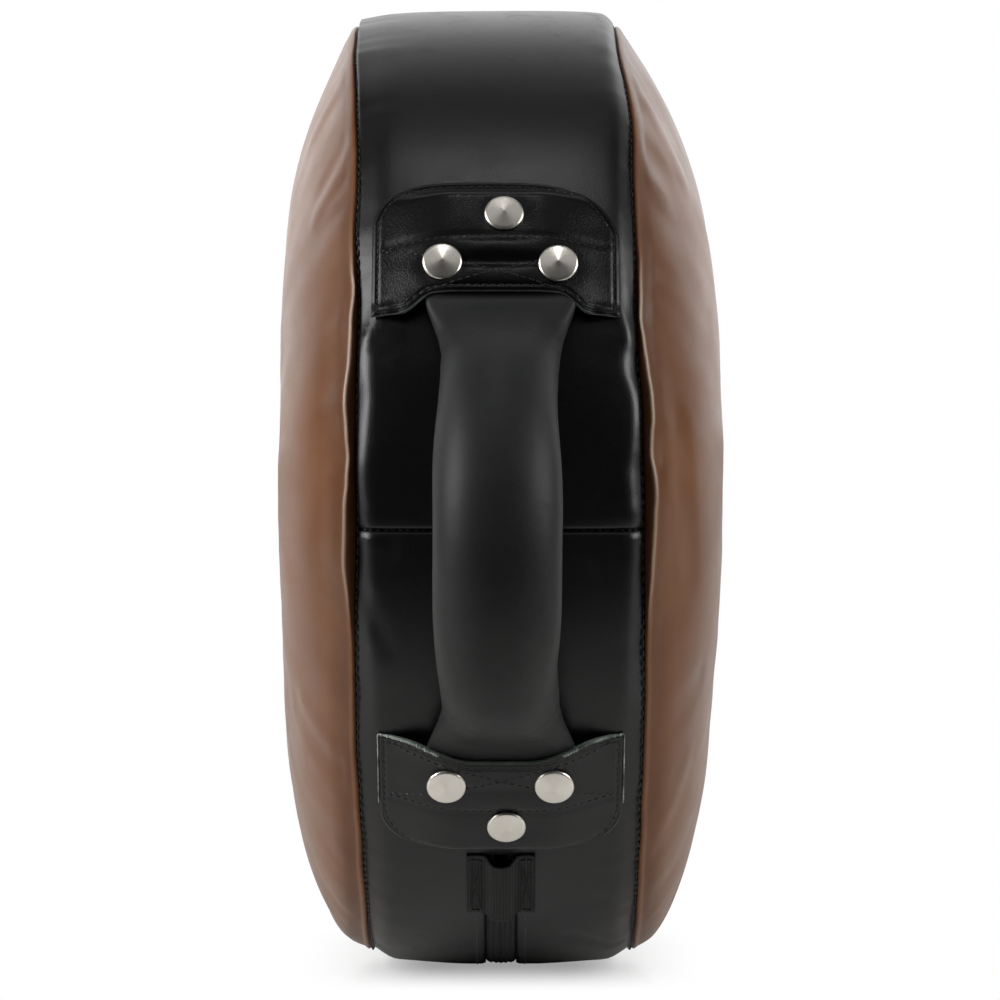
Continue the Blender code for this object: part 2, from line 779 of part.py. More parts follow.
def guide_plate(name, outline, low, high):
    """A plate that is joined to another piece, so it stays a guide itself."""
    piece = bpy.data.objects.new(name, plate_mesh(name, outline, low, high))
    piece.hide_render = True
    piece.display_type = "WIRE"
    guides.objects.link(piece)
    return piece


def shield_outline():
    """The slider's plan: broad round nose, narrower tail."""
    half = SLIDER_LENGTH / 2
    right = [
        (SLIDER_TAIL_HALF - 0.0010, -half),
        (SLIDER_TAIL_HALF, -half + 0.0012),
        (SLIDER_NOSE_HALF, 0.0010),
        (SLIDER_NOSE_HALF, half - 0.0022),
        (SLIDER_NOSE_HALF - 0.0016, half - 0.0004),
    ]
    tip = [(0.0, half)]
    return right + tip + [(-x, y) for x, y in reversed(right)]


def in_slider_frame(piece, y, radius):
    """Place a piece by its height over the pad's axis and its place along the slider."""
    turn = math.radians(SLIDER_ANGLE)
    out = outward(SLIDER_ANGLE)
    along = Vector((0.0, math.sin(turn), math.cos(turn)))
    frame = Matrix((Vector((1, 0, 0)), along, out)).transposed()
    centre = Vector((0, 0, PAD_CENTRE_Z)) + out * radius + along * y
    piece.matrix_world = Matrix.Translation(centre) @ frame.to_4x4()


def make_slider():
    """Top and bottom plates joined at the nose, side flanges and the crown that holds the pull."""
    base = plate_mesh("zip_slider", shield_outline(), *TOP_PLATE)
    slider = new_object("zip_slider", base, ZIP_METAL, pad)
    nose = box_outline(0.0012, PIVOT_Y + 0.0004, SLIDER_LENGTH / 2 - 0.0010)
    flange = [(0.0032, -0.0060), (0.0037, -0.0060), (0.0043, 0.0010), (0.0043, 0.0040), (0.0034, 0.0040)]
    mirrored = [(-x, y) for x, y in reversed(flange)]
    sink = 0.0002
    legs = (CROWN_START, CROWN_END - CROWN_LEG)
    parts = [
        guide_plate("slider_bottom", shield_outline(), *BOTTOM_PLATE),
        guide_plate("slider_nose", nose, BOTTOM_PLATE[1] - sink, TOP_PLATE[0] + sink),
        guide_plate("slider_flange_a", flange, BOTTOM_PLATE[1] - sink, 0.1978),
        guide_plate("slider_flange_b", mirrored, BOTTOM_PLATE[1] - sink, 0.1978),
        guide_plate("slider_leg_a", box_outline(CROWN_HALF, legs[0], legs[0] + CROWN_LEG),
                    TOP_PLATE[1] - sink, CROWN_ROOF[0] + sink),
        guide_plate("slider_leg_b", box_outline(CROWN_HALF, legs[1], legs[1] + CROWN_LEG),
                    TOP_PLATE[1] - sink, CROWN_ROOF[0] + sink),
        guide_plate("slider_roof", box_outline(CROWN_HALF, CROWN_START, CROWN_END), *CROWN_ROOF),
    ]
    order = [1, 0, 2, 3, 4, 5, 6]
    for k in order:
        in_slider_frame(parts[k], 0.0, 0.0)
        cut(slider, parts[k], "UNION")
    in_slider_frame(slider, 0.0, 0.0)


def make_pull():
    """The pull: a flat tab with a window, whose end bar turns under the slider's crown."""
    half = PULL_THICKNESS / 2
    inner = PULL_HALF - 0.0014
    tab = [
        (-PULL_HALF, half),
        (-PULL_HALF, -PULL_WINDOW - 0.0010),
        (-PULL_HALF + 0.0004, -PULL_LENGTH + 0.0016),
        (-PULL_HALF + 0.0016, -PULL_LENGTH),
        (PULL_HALF - 0.0016, -PULL_LENGTH),
        (PULL_HALF - 0.0004, -PULL_LENGTH + 0.0016),
        (PULL_HALF, -PULL_WINDOW - 0.0010),
        (PULL_HALF, half),
    ]
    pull = new_object("zip_pull", plate_mesh("zip_pull", tab, -half, half), ZIP_METAL, pad)
    window = guide_plate("pull_window", box_outline(inner, -PULL_WINDOW, -half), -0.002, 0.002)
    eye = guide_plate("pull_eye", box_outline(0.0014, -PULL_LENGTH + 0.0022, -PULL_LENGTH + 0.0062),
                      -0.002, 0.002)
    for cutter in (window, eye):
        in_slider_frame(cutter, PIVOT_Y, PIVOT_RADIUS)
        cut(pull, cutter)
    in_slider_frame(pull, PIVOT_Y, PIVOT_RADIUS)


def make_zip():
    make_tape("zip_tape_front", 1)
    make_tape("zip_tape_back", -1)
    make_coil("zip_coil_front", 1)
    make_coil("zip_coil_back", -1)
    make_elastic()
    make_stop("zip_top_stop_front", -41.8, 0.0041, 0.0007)
    make_stop("zip_top_stop_back", -41.8, -0.0041, 0.0007)
    make_stop("zip_bottom_stop", -137.9, 0.0, 0.0026)
    make_slider()
    make_pull()


def make_handles():
    rivet_mesh = turned("rivet_profile", rivet_profile(), 12)
    washer_mesh = turned("washer_profile", washer_profile(), 10, closed=True)
    for mesh in (rivet_mesh, washer_mesh):
        mesh.materials.append(finish_material(NICKEL))
    for side, side_word in ((0, "left"), (180, "right")):
        cutters = []
        for upper, end_word in ((True, "upper"), (False, "lower")):
            word = side_word + "_" + end_word
            cutter = make_post_cutter(side, upper, word)
            cutters.append(cutter)
            make_patch(side, upper, word, cutter)
            make_rivets(side, upper, word, rivet_mesh, washer_mesh)
            cut(bands[end_word], cutter)
        make_grip(side, side_word, cutters)


clear_scene()
pad = new_collection("donut_punching_pad")
guides = new_collection("guides")
make_face("face_cover_front", 1)
make_face("face_cover_back", -1)
bands = {
    "upper": make_band("band_upper", 0, 180),
    "lower": make_band("band_lower", -180, 0, slot=(-(180 - SLOT_END), -SLOT_END)),
}
make_lining()
make_foam()
make_handles()
make_zip()
bpy.context.view_layer.update()
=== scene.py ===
"""The donut punching pad as it looks: leather, stitching, rivets and the zip, built round the frame."""
import json
import math

import bpy
import numpy
from mathutils import Matrix, Vector, noise


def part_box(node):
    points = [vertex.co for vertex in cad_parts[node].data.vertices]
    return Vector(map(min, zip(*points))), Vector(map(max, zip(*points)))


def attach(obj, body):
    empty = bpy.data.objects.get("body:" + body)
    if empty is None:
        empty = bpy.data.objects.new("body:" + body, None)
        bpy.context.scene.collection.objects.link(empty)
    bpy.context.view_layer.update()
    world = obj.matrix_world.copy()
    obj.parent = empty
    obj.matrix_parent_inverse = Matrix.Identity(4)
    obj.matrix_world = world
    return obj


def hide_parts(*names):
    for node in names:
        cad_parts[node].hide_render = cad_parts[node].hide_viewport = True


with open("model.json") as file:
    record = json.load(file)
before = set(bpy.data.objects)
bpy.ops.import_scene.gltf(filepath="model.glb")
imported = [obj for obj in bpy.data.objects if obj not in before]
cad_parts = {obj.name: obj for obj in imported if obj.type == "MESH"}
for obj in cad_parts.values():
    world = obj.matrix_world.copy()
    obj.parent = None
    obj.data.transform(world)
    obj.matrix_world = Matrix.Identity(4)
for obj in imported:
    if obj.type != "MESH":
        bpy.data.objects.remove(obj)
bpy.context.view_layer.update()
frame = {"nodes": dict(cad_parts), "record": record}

# The pad; all sizes are in metres, and in degrees round its X axis
PAD_RADIUS = 0.200
lining_low, lining_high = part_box("hole_lining")
CENTRE = Vector((0.0, 0.0, (lining_low.z + lining_high.z) / 2))
LEATHER = 0.0018
THREAD_RADIUS = 0.00030
STITCH = 0.0034

# Band
BAND_HALF = 0.0553
BAND_CROWN = 0.006
BAND_FALL = 0.0026
SEAM_FLOOR = 0.1915
BAND_TURNED_IN = 0.1934
SEAM_THREAD_RADIUS = 0.1939

# Faces and the hole
FACE_SEAM_X = 0.0558
FACE_FOOT_RADIUS = 0.1930
FACE_RIDGE_RADIUS = 0.1936
FACE_LIP_X = 0.0572
FACE_LIP_RADIUS = 0.1946
CREST_RADIUS = 0.103
CREST_X = 0.0884
HOLE_RADIUS = 0.0447
HOLE_MOUTH_X = 0.0745
HOLE_EDGE_X = 0.0722
FULLNESS = 0.82
SAG = 0.17

# Handles, measured from their middle
ARCH_END = 27.0
ARCH_HEIGHT = 0.050
ROOT_RADIUS = 0.2037
TONGUE_END = 37.5
TONGUE_DEPTH = 0.0034
ROOT_WIDTH = 0.0295
GRIP_WIDTH = 0.0236
GRIP_WAIST = 0.0222
GRIP_DEPTH = 0.0205
GRIP_LEATHER = 0.0013
GRIP_LEAN = -0.0014

# Patches and rivets: 1 is the upper one of a handle and -1 the lower; rivets by (angle, x)
PATCH_LEANS = {1: -0.0020, -1: 0.0}
PATCH_HALF = 0.0472
PATCH_CORNER = 23.6
PATCH_MOUTH = 25.5
PATCH_SHOULDER = 33.5
PATCH_ENDS = {1: 40.2, -1: 38.9}
MOUTH_BOW = {1: (0.024, 0.012), -1: (0.0095, 0.027)}
PATCH_LEATHER = 0.0022
PATCH_TRIM = {1: 0.0008, -1: 0.0004}
PATCH_GAP = 0.0003
PATCH_TOP = ROOT_RADIUS + TONGUE_DEPTH + PATCH_LEATHER + PATCH_GAP
RIVETS = {
    1: ((28.8, -0.0223), (28.6, 0.0217), (34.6, 0.0012)),
    -1: ((28.4, -0.0209), (28.4, 0.0204), (33.9, 0.0021)),
}

# Zip, in a slot of the band, and the elastic over its end
SLOT_HALF = 0.0063
SLOT_END = 41.25
TAPE_HALF = 0.0148
TAPE_TOP = 0.1991
TAPE_UNDER = 0.1973
TAPE_RIB = 0.0021
TAPE_THICKNESS = 0.0006
ELASTIC_HALF = 0.0135
ELASTIC_BASE = 0.2011
ELASTIC_TUNNEL = 0.0036
ELASTIC_START = 41.0
ELASTIC_END = 52.5
ELASTIC_RIB = 0.0012
ELASTIC_THICKNESS = 0.0007

# Lengths that stand for a degree of turn at the rim and along a crease, and for t = 1 across a face
RIM_ARC = 0.0036
CREASE_TURN = 0.0030
CREASE_RUN = 0.10

# Creases of the faces: side, (angle, t) at both ends, half width and height
CREASES = (
    (-1, (63.7, 0.02), (64.8, 0.36), 0.0085, 0.0005),
    (-1, (46.9, 0.02), (43.5, 0.27), 0.0080, 0.0005),
    (-1, (50.5, 0.03), (47.5, 0.22), 0.0080, -0.0005),
    (-1, (-29.2, 0.45), (-31.0, 0.03), 0.0110, -0.0006),
    (-1, (-26.5, 0.34), (-28.0, 0.12), 0.0090, 0.0003),
    (-1, (-85.3, 0.18), (-66.4, 0.02), 0.0080, 0.0005),
    (1, (58.3, 0.02), (49.0, 0.12), 0.0130, -0.0006),
    (1, (63.6, 0.05), (53.8, 0.33), 0.0110, 0.0006),
    (1, (44.7, 0.03), (43.3, 0.15), 0.0100, 0.0003),
    (1, (-23.0, 0.37), (-24.7, 0.03), 0.0110, -0.0006),
    (1, (-33.9, 0.26), (-40.9, 0.03), 0.0090, 0.0004),
    (1, (12.0, 0.20), (-6.0, 0.26), 0.0110, -0.0004),
)

# How far each seam is drawn in at mid height, top and bottom, and how much lower each crest stands there
SEAM_INSETS = {1: (0.0009, 0.0036, 0.0009), -1: (0.0, 0.0, 0.0020)}
CREST_DROPS = {1: (0.0042, 0.0040), -1: (0.0, 0.0006)}

# Near the very top a seam swings sideways: how far, from what share of the height and over what run
TOP_SWING = {1: (0.0045, 0.78, 0.18), -1: (-0.0033, 0.72, 0.26)}

# The band rolls over to its seams; wider at the handles' roots, and less where its top stands square
ROLL_BEND = 0.0052
ROLL_WIDER = 0.0045
ROLL_SLOPE = 0.85
ROLL_DEPTH = 0.0042
FOOT_LIFT = 0.0011
SQUARE_TOP = {1: 0.35, -1: 0.8}
DRAWN_FROM = 0.036
DRAWN_POWER = 1.6
LIP_DRAW = 0.0010

# The covers of the faces are cut a share too large, and settle as cloth no further than this
CLOTH_GROWTH = 0.004
CLOTH_REACH = 0.0010
CLOTH_STEPS = 12
CLOTH_SMOOTHING = 8
FACE_SEWN_ROWS = 16
FACE_TAUT_ROWS = 45

# Beside the handles: width of the rolled lip, and the share of the band where its roll begins
LIPS = {
    -1: ((-25, 0.0014), (-14, 0.0018), (-9, 0.0030), (-3.7, 0.0044), (-1.0, 0.0042), (2.2, 0.0041),
         (5.7, 0.0028), (8.0, 0.0021), (10.9, 0.0029), (14.2, 0.0037), (19.6, 0.0023), (23.9, 0.0021),
         (27.8, 0.0010), (30.8, 0.0019), (36, 0.0015)),
    1: ((-25, 0.0013), (-10, 0.0016), (-5, 0.0028), (1.5, 0.0038), (3.7, 0.0043), (5.4, 0.0041),
        (6.9, 0.0033), (8.4, 0.0026), (10.4, 0.0029), (12.4, 0.0036), (14.9, 0.0034), (18.4, 0.0027),
        (21.2, 0.0019), (23.9, 0.0008), (27.1, 0.0012), (32.9, 0.0017), (37, 0.0014)),
}
SHOULDERS = {
    -1: ((-22, 0.80), (-10, 0.84), (-0.3, 0.875), (5.7, 0.905), (10.9, 0.885), (14.8, 0.863),
         (18.4, 0.895), (21.1, 0.920), (23.9, 0.83), (27, 0.77), (33, 0.80), (40, 0.80)),
    1: ((-22, 0.80), (-10, 0.85), (0, 0.885), (6.6, 0.862), (9, 0.895), (12.4, 0.910),
        (14.9, 0.905), (17.8, 0.845), (22, 0.925), (25.2, 0.88), (31, 0.81), (40, 0.79)),
}

# Folds of the band beside the handles: (angle, x) at both ends, half width and height
BAND_FOLDS = (
    ((25.0, -0.0455), (21.0, -0.0525), 0.0032, 0.0010),
    ((24.0, -0.0450), (22.4, -0.0390), 0.0042, 0.0006),
    ((25.0, 0.0450), (21.3, 0.0515), 0.0040, 0.0007),
    ((-7.0, -0.0520), (-13.0, -0.0440), 0.0050, -0.0007),
    ((-60.0, 0.0300), (-66.0, 0.0480), 0.0045, -0.0007),
    ((-50.0, 0.0400), (-55.0, 0.0510), 0.0040, -0.0005),
)


# Shader expressions

class Field:
    """A number or colour that varies over a surface, written like ordinary arithmetic."""

    def __init__(self, finish, socket):
        self.finish = finish
        self.socket = socket

    def maths(self, operation, first, second=0.5):
        return self.finish.node("ShaderNodeMath", {"operation": operation}, {0: first, 1: second})

    def __add__(self, other):
        return self.maths("ADD", self, other)

    def __radd__(self, other):
        return self.maths("ADD", other, self)

    def __sub__(self, other):
        return self.maths("SUBTRACT", self, other)

    def __rsub__(self, other):
        return self.maths("SUBTRACT", other, self)

    def __mul__(self, other):
        return self.maths("MULTIPLY", self, other)

    def __rmul__(self, other):
        return self.maths("MULTIPLY", other, self)

    def __pow__(self, other):
        return self.maths("POWER", self, other)

    def sine(self):
        return self.maths("SINE", self)

    def within(self, low, high):
        """0 below low, 1 above high and smooth between."""
        settings = {"interpolation_type": "SMOOTHSTEP"}
        values = {"Value": self, "From Min": low, "From Max": high}
        return self.finish.node("ShaderNodeMapRange", settings, values)


class Finish:
    """One material, and the nodes that it is mixed from."""

    def __init__(self, name):
        self.material = bpy.data.materials.new(name)
        self.material.use_nodes = True
        self.nodes = self.material.node_tree.nodes
        self.links = self.material.node_tree.links
        self.shader = self.nodes["Principled BSDF"]

    def put(self, socket, value):
        if isinstance(value, Field):
            self.links.new(value.socket, socket)
        elif isinstance(value, tuple) and len(value) == 3 and socket.type == "RGBA":
            socket.default_value = (*value, 1.0)
        else:
            socket.default_value = value

    def node(self, kind, settings=None, values=None, out=0):
        made = self.nodes.new(kind)
        for name, setting in (settings or {}).items():
            setattr(made, name, setting)
        for name, value in (values or {}).items():
            self.put(made.inputs[name], value)
        return Field(self, made.outputs[out])

    def place(self):
        """Places on the surface, in metres."""
        return self.node("ShaderNodeTexCoord", out="Object")

    def cloud(self, size, detail=3.0, roughness=0.55, warp=0.0):
        """Soft noise whose patches are about this many metres across."""
        values = {"Vector": self.place(), "Scale": 1 / size, "Detail": detail,
                  "Roughness": roughness, "Distortion": warp}
        return self.node("ShaderNodeTexNoise", None, values, "Fac")

    def pebbles(self, size):
        """Distance to the walls between grains of this size."""
        values = {"Vector": self.place(), "Scale": 1 / size}
        return self.node("ShaderNodeTexVoronoi", {"feature": "DISTANCE_TO_EDGE"}, values, "Distance")

    def blend(self, share, first, second):
        values = {0: share, 6: first, 7: second}
        return self.node("ShaderNodeMix", {"data_type": "RGBA"}, values, 2)

    def relief(self, height, depth, strength=1.0):
        values = {"Height": height, "Distance": depth, "Strength": strength}
        return self.node("ShaderNodeBump", None, values, "Normal")

    def axis(self, which):
        return self.node("ShaderNodeSeparateXYZ", None, {0: self.place()}, which)

    def set(self, **sockets):
        for name, value in sockets.items():
            self.put(self.shader.inputs[name.replace("_", " ")], value)
        return self.material


def smooth_leather(name, dark, light, rough, grain=0.00005, sheen=0.0, shine=0.5):
    """Finished leather: fine pebbled grain, faint mottling and scuffs that change the gloss."""
    f = Finish(name)
    mottle = f.cloud(0.045, 5.0, 0.62).within(0.35, 0.68)
    pores = f.pebbles(0.0011).within(0.0, 0.16)
    fine = f.cloud(0.0006, 4.0, 0.6)
    scuff = f.cloud(0.016, 6.0, 0.7, 0.6).within(0.52, 0.72)
    crease = 1 - f.pebbles(0.011).within(0.0, 0.03)
    height = pores * 0.6 + fine * 0.5 - crease * 0.25
    return f.set(Sheen_Weight=sheen, Specular_IOR_Level=shine,
                 Base_Color=f.blend(mottle * 0.8 + fine * 0.2, dark, light),
                 Roughness=rough + scuff * 0.09 + (fine - 0.5) * 0.12,
                 Normal=f.relief(height, grain, 0.55))


def brown_leather():
    """Waxed brown leather. The wear attribute paints light on it: painted shade darkens the seam strips and
    the face beside them, and the open lips are paler, partly worn by use and partly a painted highlight.
    """
    f = Finish("brown_leather_finish")
    broad = f.cloud(0.085, 4.0, 0.55, 0.4).within(0.33, 0.68)
    cloudy = f.cloud(0.022, 6.0, 0.65).within(0.3, 0.72)
    fine = f.cloud(0.0007, 4.0, 0.6)
    pores = f.pebbles(0.0012).within(0.0, 0.15)
    base = f.blend(broad, (0.172, 0.061, 0.0185), (0.228, 0.089, 0.032))
    worn = f.blend(cloudy * 0.30, base, (0.285, 0.128, 0.058))
    height = pores * 0.6 + fine * 0.5
    # The wear attribute: painted shade where it is below 0, and a worn pale lip with a painted highlight
    # where it is above 0.
    wear = f.node("ShaderNodeAttribute", {"attribute_name": "wear"}, None, "Fac")
    # Painted shade in the seam strips and beside the lips.
    shaded = f.blend((0 - wear).within(0.0, 1.0) * 0.85, worn, (0.050, 0.0175, 0.0058))
    # Pale lip ridges: partly worn by use, partly a painted highlight.
    rubbed_and_highlit = f.blend(wear.within(0.1, 1.0) * 0.82, shaded, (0.50, 0.36, 0.26))
    return f.set(Specular_IOR_Level=0.4, Base_Color=f.blend(fine * 0.22, rubbed_and_highlit, (0.100, 0.038, 0.018)),
                 Roughness=0.31 + cloudy * 0.08 + (fine - 0.5) * 0.14,
                 Normal=f.relief(height, 0.00006, 0.5))


def raw_edge():
    """The cut edge of the leather: fibrous and grey-green, and turned near black above a set height, which
    takes in the upper patches.
    """
    f = Finish("raw_edge_finish")
    fibre = f.cloud(0.0009, 5.0, 0.7)
    patchy = f.cloud(0.012, 3.0).within(0.35, 0.65)
    pale = f.blend(fibre, (0.110, 0.145, 0.120), (0.26, 0.30, 0.26))
    stained = f.blend(patchy * 0.35, pale, (0.030, 0.036, 0.032))
    # Near black above about 0.29 m, over most of the upper patches' edges.
    darker_high_up = f.axis("Z").within(0.288, 0.300) * 0.95
    return f.set(Base_Color=f.blend(darker_high_up, stained, (0.004, 0.004, 0.004)),
                 Roughness=0.9, Normal=f.relief(fibre, 0.0004, 0.8))


def frayed_backing():
    """Pale fibres of the leather's flesh side."""
    f = Finish("fray_finish")
    fibre = f.cloud(0.0006, 5.0, 0.7)
    patchy = f.cloud(0.008, 3.0).within(0.35, 0.62)
    pale = f.blend(fibre, (0.26, 0.32, 0.28), (0.62, 0.68, 0.63))
    return f.set(Base_Color=f.blend(patchy, (0.10, 0.125, 0.112), pale),
                 Roughness=0.95, Normal=f.relief(fibre, 0.0003, 0.8))


def thread(name, dark, light):
    """Twisted sewing thread."""
    f = Finish(name)
    twist = (f.axis("X") * 9000 + f.axis("Y") * 7000 + f.axis("Z") * 8000).sine()
    return f.set(Base_Color=f.blend(twist * 0.5 + 0.5, dark, light),
                 Roughness=0.42, Normal=f.relief(twist, 0.00008, 0.6))


def nickel():
    """Plated caps: bright, with a soft haze and a few handling marks."""
    f = Finish("nickel_finish")
    marks = f.cloud(0.0016, 6.0, 0.75, 1.5)
    haze = f.cloud(0.006, 3.0).within(0.4, 0.7)
    return f.set(Base_Color=f.blend(haze * 0.5, (0.94, 0.89, 0.82), (0.86, 0.79, 0.71)),
                 Metallic=1.0, Roughness=0.31 + haze * 0.08 + (marks - 0.5) * 0.1,
                 Normal=f.relief(marks, 0.00003, 0.3))


def black_enamel():
    """The zip's metal: black enamel with bright specks where it has chipped."""
    f = Finish("enamel_finish")
    wear = f.cloud(0.0012, 5.0, 0.7).within(0.58, 0.66)
    return f.set(Base_Color=f.blend(wear, (0.020, 0.020, 0.022), (0.30, 0.29, 0.27)),
                 Metallic=0.7 + wear * 0.3, Roughness=0.36 - wear * 0.08,
                 Normal=f.relief(f.cloud(0.0008), 0.00004, 0.4))


def woven(name, dark, light, pitch):
    """Ribbed webbing: ribs run round the rim and fine picks cross them."""
    f = Finish(name)
    ribs = (f.axis("X") * (2 * math.pi / pitch)).sine() * 0.5 + 0.5
    picks = (f.axis("Y") * 5200).sine() * (f.axis("Z") * 5200).sine() * 0.5 + 0.5
    lint = f.cloud(0.003, 6.0, 0.7)
    height = ribs * 0.8 + picks * 0.3
    return f.set(Base_Color=f.blend(height * 0.6 + lint * 0.3, dark, light),
                 Roughness=0.82 - ribs * 0.1, Normal=f.relief(height, 0.00018, 0.8))


def foam_finish():
    """Pale open-celled foam."""
    f = Finish("foam_finish")
    cells = f.pebbles(0.0012).within(0.0, 0.2)
    return f.set(Base_Color=f.blend(cells, (0.36, 0.36, 0.31), (0.58, 0.58, 0.52)),
                 Roughness=0.95, Normal=f.relief(cells, 0.0003))


def coil_finish():
    """The zip's coil, banded by its turns."""
    f = Finish("coil_finish")
    turns = (f.axis("Y") * 3000).sine() * 0.5 + 0.5
    return f.set(Base_Color=f.blend(turns, (0.010, 0.010, 0.011), (0.030, 0.030, 0.032)),
                 Roughness=0.38, Normal=f.relief(turns, 0.0002))


BLACK = smooth_leather("black_leather_finish", (0.0022, 0.0023, 0.0026), (0.0048, 0.0049, 0.0053), 0.34)
GRIP_BLACK = smooth_leather("grip_leather_finish", (0.0165, 0.0170, 0.0170), (0.0240, 0.0246, 0.0246), 0.50,
                            0.00004, 0.02, 0.28)
PATCH_BLACK = smooth_leather("patch_leather_finish", (0.0022, 0.0022, 0.0025), (0.0042, 0.0043, 0.0047), 0.35,
                             0.00009)
GLOSS_BLACK = smooth_leather("gloss_leather_finish", (0.0018, 0.0018, 0.0021), (0.0036, 0.0036, 0.0040), 0.29,
                             0.00007, 0.0, 0.26)
LINING_BLACK = smooth_leather("lining_leather_finish", (0.006, 0.006, 0.006), (0.012, 0.011, 0.011), 0.55)
BROWN = brown_leather()
RAW = raw_edge()
FRAY = frayed_backing()
THREAD = thread("thread_finish", (0.007, 0.007, 0.008), (0.030, 0.030, 0.032))
GREY_THREAD = thread("grey_thread_finish", (0.020, 0.021, 0.022), (0.110, 0.112, 0.115))
NICKEL = nickel()
ENAMEL = black_enamel()
TAPE = woven("tape_finish", (0.0055, 0.0055, 0.0075), (0.019, 0.019, 0.024), 0.0022)
ELASTIC = woven("elastic_finish", (0.0032, 0.0032, 0.0033), (0.027, 0.0265, 0.026), 0.0012)
WEBBING = woven("webbing_finish", (0.012, 0.012, 0.012), (0.040, 0.040, 0.040), 0.0016)
FOAM = foam_finish()
COIL = coil_finish()


# Places on the pad

def smoothstep(t):
    t = min(max(t, 0.0), 1.0)
    return t * t * (3 - 2 * t)


def hump(t):
    """A smooth bump: 1 at t = 0 and fading out by t = 1 either way."""
    return (1 - min(t * t, 1.0)) ** 2


def span(start, end, count):
    """Evenly spaced values from start to end."""
    return [start + (end - start) * i / (count - 1) for i in range(count)]


def ripple(a, b=0.0, c=0.0):
    """Smooth noise from -1 to 1, the same in every run."""
    return noise.noise(Vector((a, b, c)))


def at(angle, radius, x=0.0):
    """The point at a turn round the pad's axis, pressed flat where the pad stands on the floor."""
    turn = math.radians(angle)
    height = CENTRE.z + radius * math.sin(turn)
    return Vector((x, -radius * math.cos(turn), max(height, 0.0)))


def outward(angle):
    """The direction out of the rim at a turn round the pad's axis."""
    turn = math.radians(angle)
    return Vector((0.0, -math.cos(turn), math.sin(turn)))


def turn_of(side, angle):
    """The turn of a place on a handle; side is 0 at -Y and 180 at +Y."""
    return angle if side == 0 else 180 - angle


# Meshes

def new_mesh(name, points, faces):
    mesh = bpy.data.meshes.new(name)
    mesh.from_pydata(points, [], faces)
    mesh.update()
    return mesh


def piece(name, mesh, material, slot, *replaced):
    """A visible piece of the pad, which stands for the nodes that it replaces."""
    made = bpy.data.objects.new(name, mesh)
    bpy.context.scene.collection.objects.link(made)
    mesh.materials.append(material)
    mesh.shade_smooth()
    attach(made, "pad")
    if replaced:
        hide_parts(*replaced)
    return made


def skin(name, rows, inside, closed=False, ring=False, keep=None):
    """A surface through rows of points, facing away from what lies inside."""
    points = [p for row in rows for p in row]
    wide = len(rows[0])
    across = wide if ring else wide - 1
    faces = []
    for i in range(len(rows) if closed else len(rows) - 1):
        k = (i + 1) % len(rows)
        for j in range(across):
            m = (j + 1) % wide
            if keep is None or keep(i, j):
                faces.append((i * wide + j, k * wide + j, k * wide + m, i * wide + m))
    facing = 0.0
    for a, b, c, d in faces:
        normal = (points[c] - points[a]).cross(points[d] - points[b])
        facing += normal.dot(points[a] - inside(points[a]))
    if facing < 0:
        faces = [tuple(reversed(face)) for face in faces]
    return new_mesh(name, points, faces)


def pad_axis(point):
    """The nearest point of the pad's axis."""
    return Vector((point.x, 0.0, CENTRE.z))


def ring_core(point):
    """The nearest point of the middle line of the ring."""
    flat = Vector((0.0, point.y, point.z - CENTRE.z))
    return CENTRE + flat.normalized() * CREST_RADIUS


def thicken(made, thickness, rim=None):
    """Give a skin its thickness, inwards, with another finish on its cut edge if one is named."""
    shell = made.modifiers.new("thickness", "SOLIDIFY")
    shell.thickness = thickness
    shell.offset = -1.0
    if rim:
        made.data.materials.append(rim)
        shell.material_offset_rim = 1


def run_lengths(run):
    """How far along a run of (point, outward) pairs each of its points lies."""
    lengths = [0.0]
    for (a, _), (b, _) in zip(run, run[1:]):
        lengths.append(lengths[-1] + (b - a).length)
    return lengths


def stitches(name, runs, pitch=STITCH, radius=THREAD_RADIUS, share=0.74, slot="black_leather", finish=THREAD):
    """Rows of thread: short arched strands laid along each run of (point, outward) pairs."""
    points, faces = [], []
    for run in runs:
        lengths = run_lengths(run)
        count = max(1, int(lengths[-1] / pitch))
        step = lengths[-1] / count
        for i in range(count):
            strand(points, faces, run, lengths, (i + 0.13) * step, (i + 0.13 + share) * step, radius)
    piece(name, new_mesh(name, points, faces), finish, slot)


def along(run, lengths, distance):
    """The point and the outward direction at a distance along a run."""
    k = 0
    while k < len(lengths) - 2 and lengths[k + 1] < distance:
        k += 1
    t = (distance - lengths[k]) / max(lengths[k + 1] - lengths[k], 1e-9)
    return run[k][0].lerp(run[k + 1][0], t), run[k][1].lerp(run[k + 1][1], t).normalized()


def strand(points, faces, run, lengths, start, end, radius):
    """One stitch: a tapered strand that rises out of its hole and goes down into the next."""
    sides = 6
    first = len(points)
    shares = (0.0, 0.12, 0.35, 0.65, 0.88, 1.0)
    a, up = along(run, lengths, start)
    b, _ = along(run, lengths, end)
    side = (b - a).cross(up).normalized()
    for t in shares:
        bow = math.sin(math.pi * t)
        centre, lift = along(run, lengths, start + (end - start) * t)
        centre = centre + lift * radius * (1.1 * bow - 0.75)
        thick = radius * (0.45 + 0.55 * min(1.0, bow * 1.6))
        for k in range(sides):
            turn = 2 * math.pi * k / sides
            points.append(centre + side * math.cos(turn) * thick + lift * math.sin(turn) * thick)
    for i in range(len(shares) - 1):
        for k in range(sides):
            m = (k + 1) % sides
            low, high = first + i * sides, first + (i + 1) * sides
            faces.append((low + k, low + m, high + m, high + k))
    faces.append(tuple(first + k for k in reversed(range(sides))))
    last = first + (len(shares) - 1) * sides
    faces.append(tuple(last + k for k in range(sides)))


# Band round the rim

